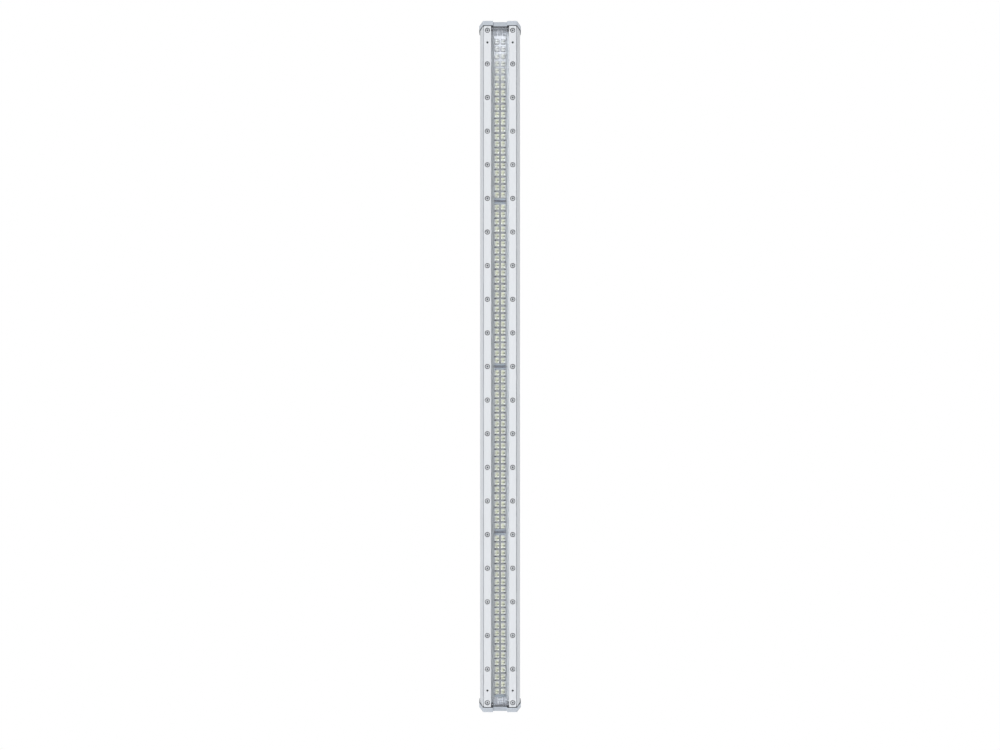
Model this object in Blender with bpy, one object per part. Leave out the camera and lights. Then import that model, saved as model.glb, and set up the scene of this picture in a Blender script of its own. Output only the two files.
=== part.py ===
"""A linear LED floodlight, 1.2 m long, held upright on a wall by two brackets that let it tilt.

+Z runs up the lamp, the light shines towards -Y, and the wall is the plane y = 0.
A depth is measured backwards from the front plane of the end caps.
"""

import math

import bmesh
import bpy
from mathutils import Matrix, Vector
from mathutils.geometry import delaunay_2d_cdt

MM = 0.001

# Fits that every piece shares
SEAT_GAP = 0.3 * MM
CUT_OVERRUN = 2 * MM
HEX_SIDES = 6
SHANK_SIDES = 6

# Whole lamp
LENGTH = 1200 * MM
PIVOT_TO_WALL = 50 * MM

# End caps and their gaskets
CAP_THICKNESS = 7.5 * MM
CAP_FRONT_STEP = 0.4 * MM
CAP_OVERHANG = 1.5 * MM
CAP_FRONT_RADIUS = 1 * MM
NOTCH_INSET = 3.3 * MM
NOTCH_DEPTH = 6.8 * MM
END_JOINT = 1.2 * MM
END_GASKET_INSET = 0.5 * MM
CAP_POCKET_INSET = 2.5 * MM
CAP_POCKET_FRONT = 17 * MM
CAP_POCKET_BACK_SPACE = 6.5 * MM
CAP_POCKET_DEPTH = 5 * MM
TONGUE_LENGTH = 3 * MM
TONGUE_THICKNESS = 2.5 * MM

# Housing extrusion
LIP_FRONT = 4 * MM
LIP_WIDTH = 0.7 * MM
FLANK_HALF = 35.25 * MM
FLANK_LEAN = 5.45 * MM
FLANK_DEPTH = 30 * MM
FLANK_RADIUS = 16 * MM
BACK_DEPTH = 55.5 * MM
BACK_RADIUS = 3 * MM
BACK_WALL = 3 * MM
TROUGH_SHARE = 0.44
TROUGH_FLOOR = 28.5 * MM
FLOOR_WALL = 3.5 * MM
TROUGH_WALL = 3 * MM
BAY_FRONT = 21 * MM
BAY_WIDTH = 6 * MM
CHAMBER_FRONT = 27.5 * MM
SIDE_WALL = 3.75 * MM
REAR_BLOCK_WIDTH = 7.5 * MM
REAR_BLOCK_HEIGHT = 7 * MM
FIN_GROOVES = 5
FIN_GROOVE_SHARE = 0.5
FIN_GROOVE_DEPTH = 1.5 * MM
FIN_FRONT_SPACE = 4 * MM
FIN_BACK_SPACE = 7.1 * MM
PORT_RADIUS = 2.1 * MM
FRONT_PORT_DEPTH = 22.5 * MM
REAR_PORT_INSET = 6.65 * MM
REAR_PORT_RISE = 6 * MM
ARC_STEPS = 3
PORT_SIDES = 10

# Rail on the back of the housing
RAIL_NECK_HALF = 7 * MM
RAIL_NECK_HEIGHT = 3 * MM
RAIL_HEAD_HALF = 11 * MM
RAIL_HEAD_HEIGHT = 3 * MM
RAIL_END_SPACE = 100 * MM

# Clamp strips and their screws
STRIP_FRONT = 0.5 * MM
STRIP_THICKNESS = 5 * MM
STRIP_SET_BACK = 0.25 * MM
STRIP_SIDE_GAP = 0.9 * MM
STRIP_END_CUT = 1.2 * MM
STRIP_SCREWS = 21
STRIP_SCREW_MARGIN = 7.3 * MM
DRAIN_HOLE_RADIUS = 1.4 * MM
DRAIN_HOLE_END_SPACE = 28.3 * MM
DRAIN_HOLE_SIDES = 8
HEAD_RADIUS = 3.8 * MM
HEAD_HEIGHT = 2.2 * MM
HEAD_TOP_RADIUS = 2.5 * MM
SOCKET_RADIUS = 1.45 * MM
SOCKET_DEPTH = 1.3 * MM
HEAD_RECESS = 0.2 * MM
COUNTERBORE_GAP = 0.6 * MM
SHANK_RADIUS = 2 * MM
HEAD_SIDES = 10
SLOT_GAP = 0.3 * MM
NUT_SHOULDER = 14.5 * MM
NUT_BAR_HALF = 3.4 * MM
NUT_BAR_THICKNESS = 3 * MM
NUT_BAR_SHORTER = 4 * MM

# Cover glass and its seals
GLASS_THICKNESS = 4 * MM
GLASS_EDGE_GAP = 0.3 * MM
GLASS_SEAT_SHARE = 0.193
SEAL_THICKNESS = 1 * MM
SEAL_SHARE = 0.8

# LED boards, lens arrays and links
MODULES = 4
MODULE_END_SPACE = 11.3 * MM
MODULE_GAP = 1.3 * MM
LED_ROWS = 22
LED_END_SPACE = 10.1 * MM
LED_COLUMN_INSET = 0.15 * MM
BOARD_SIDE_SPACE = 4.5 * MM
BOARD_THICKNESS = 1.5 * MM
LED_HALF = 2.5 * MM
LED_HEIGHT = 1 * MM
LENS_PLATE_INSET = 0.5 * MM
LENS_PLATE_THICKNESS = 1.8 * MM
LENS_PLATE_LIFT = 2 * MM
LENS_COLUMN_GAP = 1.8 * MM
LENS_ROW_GAP = 3.6 * MM
LENS_RISE = 4.5 * MM
LENS_DRAFT = 0.7 * MM
LENS_PIN_RADIUS = 1 * MM
LENS_PIN_INSET = 3 * MM
LENS_PIN_EDGE = 0.5 * MM
LENS_PIN_SIDES = 6
LINK_HALF_WIDTH = 6 * MM
LINK_HALF_LENGTH = 4 * MM
LINK_HEIGHT = 1.3 * MM

# Leads and drivers in the rear chamber
LEAD_RADIUS = 0.75 * MM
LEAD_BOARD_HALF = 4.5 * MM
LEAD_WALL_HALF = 1.4 * MM
LEAD_SIDE_SPACE = 1.7 * MM
LEAD_PAD_OVERLAP = 3 * MM
LEAD_RUN = 5 * MM
LEAD_POCKET_GAP = 1.5 * MM
LEAD_SAMPLES = 2
LEAD_BEVEL_STEPS = 2
DRIVER_LENGTH = 230 * MM
DRIVER_SIDE_SPACE = 2 * MM
DRIVER_FRONT_SPACE = 3.4 * MM
DRIVER_CORNER = 2 * MM
DRIVER_END_SPACE = 60 * MM
DRIVER_PAD_THICKNESS = 1 * MM
DRIVER_PAD_INSET = 2 * MM
DRIVER_PAD_SHORTER = 6 * MM
LINK_LEAD_RADIUS = 2.5 * MM
LINK_LEAD_X = 14 * MM
LINK_LEAD_DROP = 40 * MM
LINK_LEAD_LIFT = 1 * MM
LINK_LEAD_BEVEL_STEPS = 2

# Cable gland and breather vent on the back wall
GLAND_END_SPACE = 40 * MM
GLAND_SIDES = 12
GLAND_THREAD_RADIUS = 7.8 * MM
GLAND_BORE_RADIUS = 4.6 * MM
GLAND_MOUTH_RADIUS = 6.1 * MM
GLAND_INNER_LENGTH = 6.5 * MM
GLAND_FLANGE_RADIUS = 11 * MM
GLAND_FLANGE_THICKNESS = 4 * MM
GLAND_NECK_LENGTH = 8 * MM
GLAND_MOUTH_DEPTH = 6.5 * MM
GLAND_SEAL_WALL = 2.1 * MM
GLAND_SEAL_LENGTH = 7.5 * MM
GLAND_NUT_RADIUS = 10.6 * MM
GLAND_NUT_LENGTH = 9.5 * MM
GLAND_DOME_LENGTH = 4.5 * MM
GLAND_DOME_BASE = 9 * MM
GLAND_DOME_RADIUS = 6.2 * MM
GLAND_NUT_ROOF = 0.3 * MM
GLAND_NUT_BORE = 4.3 * MM
LOCKNUT_RADIUS = 10.8 * MM
LOCKNUT_THICKNESS = 3.2 * MM
VENT_END_SPACE = 40 * MM
VENT_THREAD_RADIUS = 5.9 * MM
VENT_INNER_LENGTH = 6 * MM
VENT_FLANGE_RADIUS = 8.6 * MM
VENT_FLANGE_THICKNESS = 3 * MM
VENT_CAP_RADIUS = 6.6 * MM
VENT_CAP_HEIGHT = 4 * MM
VENT_CAP_EDGE = 1 * MM

# Cap screws
CAP_SCREW_HEAD_RADIUS = 3.5 * MM
CAP_SCREW_HEAD_HEIGHT = 2.6 * MM
CAP_SCREW_RECESS = 0.5 * MM
CAP_SCREW_RADIUS = 1.8 * MM
CAP_SCREW_LENGTH = 16 * MM
CAP_SCREW_GAP = 0.4 * MM
CAP_SCREW_SOCKET = 1.7 * MM
CAP_SCREW_SOCKET_DEPTH = 1.5 * MM

# Brackets: a saddle and a jaw grip the rail, and a pin bolt joins the saddle to the wall foot
BRACKET_END_SPACE = 150 * MM
SADDLE_LENGTH = 50 * MM
SADDLE_PLATE = 4 * MM
SADDLE_HOOK = 4 * MM
SADDLE_LIP_THICKNESS = 2.1 * MM
SADDLE_LIP_REACH = 3.4 * MM
SADDLE_WING_HALF = 20 * MM
JAW_LENGTH = 22 * MM
JAW_Z = 14 * MM
JAW_BOLT_X = 15.6 * MM
JAW_BOLT_RADIUS = 2.2 * MM
JAW_BOLT_HEAD_RADIUS = 4.2 * MM
JAW_BOLT_HEAD_HEIGHT = 3.5 * MM
EAR_THICKNESS = 4 * MM
EAR_RADIUS = 13 * MM
EAR_CLEARANCE = 2 * MM
EAR_ARC_STEPS = 10
PIVOT_RADIUS = 3 * MM
PIVOT_SIDES = 12
PIVOT_HEAD_RADIUS = 5.6 * MM
PIVOT_HEAD_HEIGHT = 4 * MM
PIVOT_NUT_HEIGHT = 5 * MM
PIVOT_THREAD_SHOW = 2 * MM
WASHER_RADIUS = 6.2 * MM
WASHER_THICKNESS = 1.2 * MM
FOOT_PLATE = 4 * MM
FOOT_HALF_WIDTH = 22 * MM
FOOT_HALF_LENGTH = 34 * MM
FOOT_CORNER = 4 * MM
FOOT_HOLE_RADIUS = 3.3 * MM
FOOT_HOLE_Z = 22 * MM
FOOT_HOLE_SIDES = 10

# Looks: colour, roughness and metallic value
PAINT_LOOK = ((0.60, 0.62, 0.63), 0.45, 0.3)
STRIP_LOOK = ((0.78, 0.80, 0.82), 0.4, 0.3)
CAP_LOOK = ((0.58, 0.62, 0.66), 0.45, 0.3)
STEEL_LOOK = ((0.55, 0.56, 0.57), 0.3, 1.0)
RUBBER_LOOK = ((0.05, 0.055, 0.06), 0.7, 0.0)
GLASS_LOOK = ((0.85, 0.9, 0.92), 0.05, 0.0)
BOARD_LOOK = ((0.72, 0.74, 0.74), 0.5, 0.0)
LENS_LOOK = ((0.75, 0.78, 0.76), 0.15, 0.0)
LEAD_LOOK = ((0.85, 0.86, 0.88), 0.45, 0.0)
DRIVER_LOOK = ((0.35, 0.36, 0.37), 0.5, 0.6)
PAD_LOOK = ((0.45, 0.5, 0.6), 0.8, 0.0)
NYLON_LOOK = ((0.12, 0.12, 0.13), 0.5, 0.0)

# Sizes and places worked out from the ones above
TROUGH_HALF = FLANK_HALF * TROUGH_SHARE
LIP_OUT_HALF = FLANK_HALF - FLANK_LEAN
LIP_IN_HALF = LIP_OUT_HALF - LIP_WIDTH
STRIP_IN_HALF = TROUGH_HALF + STRIP_SET_BACK
STRIP_OUT_HALF = LIP_IN_HALF - STRIP_SIDE_GAP
STRIP_SCREW_HALF = (STRIP_IN_HALF + STRIP_OUT_HALF) / 2
GLASS_SEAT = (STRIP_OUT_HALF - STRIP_IN_HALF) * GLASS_SEAT_SHARE
GLASS_HALF = TROUGH_HALF + GLASS_SEAT
SEAL_WIDTH = GLASS_SEAT * SEAL_SHARE
CAP_FRONT_HALF = LIP_OUT_HALF - CAP_FRONT_STEP
NOTCH_HALF = TROUGH_HALF - NOTCH_INSET
CAP_POCKET_HALF = TROUGH_HALF - CAP_POCKET_INSET
CAP_POCKET_BACK = BACK_DEPTH - CAP_POCKET_BACK_SPACE
LAND_DEPTH = STRIP_FRONT + STRIP_THICKNESS + SEAT_GAP
GLASS_FRONT = LAND_DEPTH + SEAL_THICKNESS + SEAT_GAP
LEDGE_DEPTH = GLASS_FRONT + GLASS_THICKNESS + SEAL_THICKNESS + 2 * SEAT_GAP
GLASS_POCKET_HALF = GLASS_HALF + GLASS_EDGE_GAP
FIN_FIRST = FLANK_DEPTH + FIN_FRONT_SPACE
FIN_PITCH = (BACK_DEPTH - FIN_BACK_SPACE - FIN_FIRST) / (FIN_GROOVES - 1)
FIN_GROOVE_WIDTH = FIN_PITCH * FIN_GROOVE_SHARE
BAY_IN = TROUGH_HALF + TROUGH_WALL
BAY_OUT = BAY_IN + BAY_WIDTH
CHAMBER_HALF = FLANK_HALF - SIDE_WALL
CHAMBER_BACK = BACK_DEPTH - BACK_WALL
FLOOR_BACK = TROUGH_FLOOR + FLOOR_WALL
RAIL_BACK = BACK_DEPTH + RAIL_NECK_HEIGHT + RAIL_HEAD_HEIGHT
RAIL_HALF_LENGTH = LENGTH / 2 - RAIL_END_SPACE
BRACKET_Z = RAIL_HALF_LENGTH - BRACKET_END_SPACE
SADDLE_BACK = RAIL_BACK + SEAT_GAP + SADDLE_PLATE
PIVOT_DEPTH = SADDLE_BACK + EAR_CLEARANCE + EAR_RADIUS
FRONT_Y = -PIVOT_TO_WALL - PIVOT_DEPTH
CAP_INNER_Z = LENGTH / 2 - CAP_THICKNESS
BODY_END_Z = CAP_INNER_Z - END_JOINT
MODULE_PITCH = (2 * (BODY_END_Z - MODULE_END_SPACE) + MODULE_GAP) / MODULES
MODULE_LENGTH = MODULE_PITCH - MODULE_GAP
LED_ROW_PITCH = (MODULE_LENGTH - 2 * LED_END_SPACE) / (LED_ROWS - 1)
BOARD_HALF = TROUGH_HALF - BOARD_SIDE_SPACE
LENS_PLATE_HALF = BOARD_HALF - LENS_PLATE_INSET
LED_COLUMN_HALF = LENS_PLATE_HALF / 2 - LED_COLUMN_INSET
LENS_HALF_WIDTH = LED_COLUMN_HALF - LENS_COLUMN_GAP / 2
LENS_HALF_HEIGHT = (LED_ROW_PITCH - LENS_ROW_GAP) / 2
BOARD_BACK = TROUGH_FLOOR - SEAT_GAP
BOARD_FRONT = BOARD_BACK - BOARD_THICKNESS
SLOT_HALF = SHANK_RADIUS + SLOT_GAP
DRIVER_BACK = CHAMBER_BACK - 2 * SEAT_GAP - DRIVER_PAD_THICKNESS
DRIVER_THICKNESS = DRIVER_BACK - FLOOR_BACK - DRIVER_FRONT_SPACE
DRIVER_HALF = CHAMBER_HALF - REAR_BLOCK_WIDTH - DRIVER_SIDE_SPACE
DRIVER_PAD_HALF = DRIVER_HALF - DRIVER_PAD_INSET
LEAD_DRIVER_HALF = LOCKNUT_RADIUS + LEAD_SIDE_SPACE
LEAD_CHAMBER_DEPTH = DRIVER_BACK - DRIVER_THICKNESS / 2
GLAND_Z = GLAND_END_SPACE - LENGTH / 2
VENT_Z = LENGTH / 2 - VENT_END_SPACE

SHARP_ANGLE = math.radians(35)
FILL_TOLERANCE = 1e-5

# A piece turned this way lies flat in its own frame: its +Z faces the room, or the wall
FACING_ROOM = (math.radians(90), 0, 0)
FACING_ROOM_MIRRORED = (math.radians(90), math.radians(180), 0)
FACING_WALL = (math.radians(-90), 0, 0)
UPSIDE_DOWN = (0, math.radians(180), 0)
UNTURNED = (0, 0, 0)


def y_at(depth):
    """The y of a depth."""
    return FRONT_Y + depth


def ring(radius, sides, centre=(0, 0)):
    """The corners of a regular polygon round a centre."""
    turns = [2 * math.pi * k / sides for k in range(sides)]
    return [(centre[0] + radius * math.cos(turn), centre[1] + radius * math.sin(turn)) for turn in turns]


def rectangle(half_x, half_y, centre=(0, 0)):
    """The corners of an upright rectangle round a centre."""
    x, y = centre
    sides = ((-1, -1), (1, -1), (1, 1), (-1, 1))
    return [(x + across * half_x, y + up * half_y) for across, up in sides]


def rounded(corners, steps=ARC_STEPS):
    """A closed outline from corners of (x, y, radius), each round one replaced by a tangent arc."""
    outline = []
    for k, (x, y, radius) in enumerate(corners):
        here = Vector((x, y))
        if not radius:
            outline.append((x, y))
            continue
        before = (Vector(corners[k - 1][:2]) - here).normalized()
        after = (Vector(corners[(k + 1) % len(corners)][:2]) - here).normalized()
        half_angle = before.angle(after) / 2
        centre = here + (before + after).normalized() * radius / math.sin(half_angle)
        tangent = radius / math.tan(half_angle)
        start = here + before * tangent - centre
        end = here + after * tangent - centre
        sweep = start.angle_signed(end)
        for n in range(steps + 1):
            point = centre + Matrix.Rotation(-sweep * n / steps, 2) @ start
            outline.append((point.x, point.y))
    return outline


def section(right_half):
    """A cross-section from the (x, depth, radius) corners of its right half, and their mirror images."""
    left_half = [(-x, depth, radius) for x, depth, radius in reversed(right_half)]
    return rounded([(x, y_at(depth), radius) for x, depth, radius in right_half + left_half])


def box_section(half_x, front, back):
    """A rectangular cross-section between two depths."""
    return section([(half_x, front, 0), (half_x, back, 0)])


def crossings(point, corners, edges):
    """How many of the edges a ray from the point towards +X meets."""
    count = 0
    for a, b in edges:
        low, high = sorted((corners[a], corners[b]), key=lambda corner: corner.y)
        if low.y <= point.y < high.y:
            share = (point.y - low.y) / (high.y - low.y)
            count += low.x + share * (high.x - low.x) > point.x
    return count


class Solid:
    """A closed mesh made of loops of points at given heights and the faces between them."""

    def __init__(self):
        self.points = []
        self.faces = []

    def loop(self, height, outline):
        """Adds an outline at a height and returns where its points are."""
        first = len(self.points)
        self.points += [(x, y, height) for x, y in outline]
        return list(range(first, len(self.points)))

    def fill(self, loops):
        """Flat triangles inside the first loop and outside the others."""
        corners = [k for loop in loops for k in loop]
        flat = [Vector(self.points[k][:2]) / MM for k in corners]
        edges = []
        for loop in loops:
            start = len(edges)
            edges += [(start + n, start + (n + 1) % len(loop)) for n in range(len(loop))]
        _, _, triangles, origins, _, _ = delaunay_2d_cdt(flat, edges, [], 0, FILL_TOLERANCE)
        for triangle in triangles:
            a, b, c = (origins[k][0] for k in triangle)
            if crossings((flat[a] + flat[b] + flat[c]) / 3, flat, edges) % 2:
                self.faces.append([corners[a], corners[b], corners[c]])

    def reach(self, loop):
        """How far a loop's furthest point is from its middle."""
        middle = sum((Vector(self.points[k]) for k in loop), Vector()) / len(loop)
        return max((Vector(self.points[k]) - middle).length for k in loop)

    def join(self, first, second):
        """The wall between two loops, or the flat ring between two level loops of unlike counts."""
        count = len(first)
        if count != len(second):
            self.fill(sorted((first, second), key=self.reach, reverse=True))
            return
        for k in range(count):
            after = (k + 1) % count
            self.faces.append([first[k], first[after], second[after], second[k]])

    def stack(self, sections, start=None):
        """Walls through a list of (height, outline) sections, from a loop that is already there."""
        for height, outline in sections:
            loop = self.loop(height, outline)
            if start:
                self.join(start, loop)
            start = loop
        return start

    def mesh(self, name):
        """The faces as a mesh, all facing outwards."""
        shape = bmesh.new()
        vertices = [shape.verts.new(point) for point in self.points]
        for face in self.faces:
            shape.faces.new([vertices[k] for k in face])
        bmesh.ops.recalc_face_normals(shape, faces=shape.faces)
        mesh = bpy.data.meshes.new(name)
        shape.to_mesh(mesh)
        shape.free()
        mesh.shade_smooth()
        mesh.set_sharp_from_angle(angle=SHARP_ANGLE)
        return mesh


def slab_mesh(name, outline, low, high, holes=(), bosses=()):
    """A flat piece between two heights.

    Each hole is a list of sections from the high face down, and goes through where it ends on the low one.
    Each boss is the same for the low face: a pocket or a stud that its last section closes.
    """
    solid = Solid()
    top = solid.loop(high, outline)
    base = solid.loop(low, outline)
    solid.join(top, base)
    top_loops, base_loops = [top], [base]
    for sections in holes:
        first = solid.loop(*sections[0])
        last = solid.stack(sections[1:], first)
        top_loops.append(first)
        if sections[-1][0] == low:
            base_loops.append(last)
        else:
            solid.fill([last])
    for sections in bosses:
        first = solid.loop(*sections[0])
        base_loops.append(first)
        solid.fill([solid.stack(sections[1:], first)])
    solid.fill(top_loops)
    solid.fill(base_loops)
    return solid.mesh(name)


def stepped_mesh(name, sections):
    """A turned or stepped piece closed at both ends."""
    solid = Solid()
    first = solid.loop(*sections[0])
    solid.fill([first])
    solid.fill([solid.stack(sections[1:], first)])
    return solid.mesh(name)


def ring_mesh(name, sections):
    """A turned or stepped piece with a bore: the last section meets the first."""
    solid = Solid()
    first = solid.loop(*sections[0])
    solid.join(solid.stack(sections[1:], first), first)
    return solid.mesh(name)


def tube_mesh(name, low, high, outer, bore):
    """A plain ring between two heights."""
    return ring_mesh(name, [(low, outer), (high, outer), (high, bore), (low, bore)])


def add(name, mesh, look, turn=UNTURNED, place=(0, 0, 0)):
    """An object of its own material, turned and placed, shaded smooth with sharp edges kept."""
    colour, roughness, metallic = look
    piece = bpy.data.objects.new(name, mesh)
    bpy.context.scene.collection.objects.link(piece)
    piece.rotation_euler = turn
    piece.location = place
    material = bpy.data.materials.new(name)
    material.use_nodes = True
    shader = material.node_tree.nodes["Principled BSDF"]
    shader.inputs["Base Color"].default_value = (*colour, 1)
    shader.inputs["Roughness"].default_value = roughness
    shader.inputs["Metallic"].default_value = metallic
    if not mesh.materials:
        mesh.materials.append(material)
    piece.material_slots[0].link = "OBJECT"
    piece.material_slots[0].material = material
    return piece


def combine(piece, operation, name, mesh, turn=UNTURNED, place=(0, 0, 0)):
    """A Boolean of the piece with a hidden helper."""
    helper = bpy.data.objects.new(name, mesh)
    bpy.context.scene.collection.objects.link(helper)
    helper.rotation_euler = turn
    helper.location = place
    helper.hide_render = True
    helper.display_type = "WIRE"
    modifier = piece.modifiers.new(name, "BOOLEAN")
    modifier.operation = operation
    modifier.solver = "EXACT"
    modifier.object = helper
    return helper


def lamp_corners(front, margin):
    """The right half of the outer section, from its front corners round to the back, grown by a margin."""
    side = FLANK_HALF + margin
    return front + [(side, FLANK_DEPTH, FLANK_RADIUS), (side, BACK_DEPTH + margin, BACK_RADIUS + margin)]


def port_centres():
    """Where the four cap screws enter the housing, as section points."""
    lean = FLANK_LEAN * (FRONT_PORT_DEPTH - LIP_FRONT) / (FLANK_DEPTH - LIP_FRONT)
    front_half = (BAY_OUT + LIP_OUT_HALF + lean) / 2
    places = [(front_half, FRONT_PORT_DEPTH), (FLANK_HALF - REAR_PORT_INSET, BACK_DEPTH - REAR_PORT_RISE)]
    return [(side * half, y_at(depth)) for side in (-1, 1) for half, depth in places]


def make_housing():
    """The extrusion with its rail, and the holes in its back for the gland and the vent."""
    cavity_in = STRIP_SCREW_HALF - NUT_BAR_HALF - SEAT_GAP
    cavity_out = STRIP_SCREW_HALF + NUT_BAR_HALF + SEAT_GAP
    slot_in = STRIP_SCREW_HALF - SLOT_HALF
    slot_out = STRIP_SCREW_HALF + SLOT_HALF
    cavity_depth = NUT_SHOULDER + NUT_BAR_THICKNESS + 2 * SEAT_GAP
    front = [
        (TROUGH_HALF, TROUGH_FLOOR, 0),
        (TROUGH_HALF, LEDGE_DEPTH, 0),
        (GLASS_POCKET_HALF, LEDGE_DEPTH, 0),
        (GLASS_POCKET_HALF, LAND_DEPTH, 0),
        (slot_in, LAND_DEPTH, 0),
        (slot_in, NUT_SHOULDER, 0),
        (cavity_in, NUT_SHOULDER, 0),
        (cavity_in, cavity_depth, 0),
        (cavity_out, cavity_depth, 0),
        (cavity_out, NUT_SHOULDER, 0),
        (slot_out, NUT_SHOULDER, 0),
        (slot_out, LAND_DEPTH, 0),
        (LIP_IN_HALF, LAND_DEPTH, 0),
        (LIP_IN_HALF, LIP_FRONT, 0),
        (LIP_OUT_HALF, LIP_FRONT, 0),
    ]
    flank, back = lamp_corners([], 0)
    grooves = []
    for k in range(FIN_GROOVES):
        start = FIN_FIRST + k * FIN_PITCH
        floor = FLANK_HALF - FIN_GROOVE_DEPTH
        end = start + FIN_GROOVE_WIDTH
        grooves += [(FLANK_HALF, start, 0), (floor, start, 0), (floor, end, 0), (FLANK_HALF, end, 0)]
    block_front = CHAMBER_BACK - REAR_BLOCK_HEIGHT
    chamber = [
        (BAY_IN, FLOOR_BACK, 0),
        (BAY_IN, BAY_FRONT, 0),
        (BAY_OUT, BAY_FRONT, 0),
        (BAY_OUT, CHAMBER_FRONT, 0),
        (CHAMBER_HALF, CHAMBER_FRONT, 0),
        (CHAMBER_HALF, block_front, 0),
        (CHAMBER_HALF - REAR_BLOCK_WIDTH, block_front, 0),
        (CHAMBER_HALF - REAR_BLOCK_WIDTH, CHAMBER_BACK, 0),
    ]
    hollows = [section(chamber)] + [ring(PORT_RADIUS, PORT_SIDES, centre) for centre in port_centres()]
    mesh = slab_mesh(
        "housing",
        section(front + [flank] + grooves + [back]),
        -BODY_END_Z,
        BODY_END_Z,
        [[(BODY_END_Z, hollow), (-BODY_END_Z, hollow)] for hollow in hollows],
    )
    housing = add("housing", mesh, PAINT_LOOK)
    neck_end = BACK_DEPTH + RAIL_NECK_HEIGHT
    rail = [
        (RAIL_NECK_HALF, BACK_DEPTH - BACK_WALL / 2, 0),
        (RAIL_NECK_HALF, neck_end, 0),
        (RAIL_HEAD_HALF, neck_end, 0),
        (RAIL_HEAD_HALF, RAIL_BACK, 0),
    ]
    rail_mesh = slab_mesh("rail", section(rail), -RAIL_HALF_LENGTH, RAIL_HALF_LENGTH)
    helpers = [combine(housing, "UNION", "rail", rail_mesh)]
    for name, radius, height in (
        ("gland_hole", GLAND_THREAD_RADIUS, GLAND_Z),
        ("vent_hole", VENT_THREAD_RADIUS, VENT_Z),
    ):
        hole = ring(radius + SEAT_GAP, GLAND_SIDES)
        cutter = slab_mesh(name, hole, -BACK_WALL - CUT_OVERRUN, CUT_OVERRUN)
        place = (0, y_at(BACK_DEPTH), height)
        helpers.append(combine(housing, "DIFFERENCE", name, cutter, FACING_WALL, place))
    return [housing] + helpers


def make_ends():
    """Both end caps with their gaskets and screws."""
    front = [
        (NOTCH_HALF, NOTCH_DEPTH, 0),
        (NOTCH_HALF, 0, CAP_FRONT_RADIUS),
        (CAP_FRONT_HALF, 0, CAP_FRONT_RADIUS),
    ]
    seat = CAP_THICKNESS - CAP_SCREW_RECESS - CAP_SCREW_HEAD_HEIGHT
    screw_holes = []
    for centre in port_centres():
        wide = ring(CAP_SCREW_HEAD_RADIUS + CAP_SCREW_GAP, HEAD_SIDES, centre)
        narrow = ring(PORT_RADIUS, PORT_SIDES, centre)
        floor = seat - SEAT_GAP
        screw_holes.append([(CAP_THICKNESS, wide), (floor, wide), (floor, narrow), (0, narrow)])
    pocket = box_section(CAP_POCKET_HALF, CAP_POCKET_FRONT, CAP_POCKET_BACK)
    tongue_back = LEDGE_DEPTH + TONGUE_THICKNESS
    tongue = box_section(TROUGH_HALF - SEAT_GAP, LEDGE_DEPTH, tongue_back)
    cap_mesh = slab_mesh(
        "end_cap",
        section(lamp_corners(front, CAP_OVERHANG)),
        0,
        CAP_THICKNESS,
        screw_holes,
        [[(0, pocket), (CAP_POCKET_DEPTH, pocket)], [(0, tongue), (-TONGUE_LENGTH, tongue)]],
    )
    gasket_front = [
        (NOTCH_HALF, NOTCH_DEPTH + SEAT_GAP, 0),
        (NOTCH_HALF, STRIP_FRONT, 0),
        (CAP_FRONT_HALF - END_GASKET_INSET, STRIP_FRONT, 0),
    ]
    gasket_low = SEAT_GAP
    gasket_high = END_JOINT - SEAT_GAP
    cut_outs = [ring(PORT_RADIUS, PORT_SIDES, centre) for centre in port_centres()]
    cut_outs += [pocket, box_section(TROUGH_HALF, LEDGE_DEPTH - SEAT_GAP, tongue_back + SEAT_GAP)]
    gasket_mesh = slab_mesh(
        "end_gasket",
        section(lamp_corners(gasket_front, -END_GASKET_INSET)),
        gasket_low,
        gasket_high,
        [[(gasket_high, hole), (gasket_low, hole)] for hole in cut_outs],
    )
    head = ring(CAP_SCREW_HEAD_RADIUS, HEAD_SIDES)
    shank = ring(CAP_SCREW_RADIUS, SHANK_SIDES)
    socket = ring(CAP_SCREW_SOCKET, HEX_SIDES)
    screw_mesh = stepped_mesh(
        "cap_screw",
        [
            (-CAP_SCREW_LENGTH, shank),
            (0, shank),
            (0, head),
            (CAP_SCREW_HEAD_HEIGHT, head),
            (CAP_SCREW_HEAD_HEIGHT, socket),
            (CAP_SCREW_HEAD_HEIGHT - CAP_SCREW_SOCKET_DEPTH, socket),
        ],
    )
    pieces = []
    for end, sign, turn in (("top", 1, UNTURNED), ("bottom", -1, UPSIDE_DOWN)):
        pieces.append(add(f"end_cap_{end}", cap_mesh, CAP_LOOK, turn, (0, 0, sign * CAP_INNER_Z)))
        pieces.append(add(f"end_gasket_{end}", gasket_mesh, RUBBER_LOOK, turn, (0, 0, sign * BODY_END_Z)))
        for number, (x, y) in enumerate(port_centres(), 1):
            place = (sign * x, y, sign * (CAP_INNER_Z + seat))
            pieces.append(add(f"cap_screw_{end}_{number}", screw_mesh, STEEL_LOOK, turn, place))
    return pieces


def strip_screw_places():
    """How far up or down the lamp each strip screw sits."""
    half_span = BODY_END_Z - STRIP_SCREW_MARGIN
    return [half_span * (2 * k / (STRIP_SCREWS - 1) - 1) for k in range(STRIP_SCREWS)]


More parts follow.
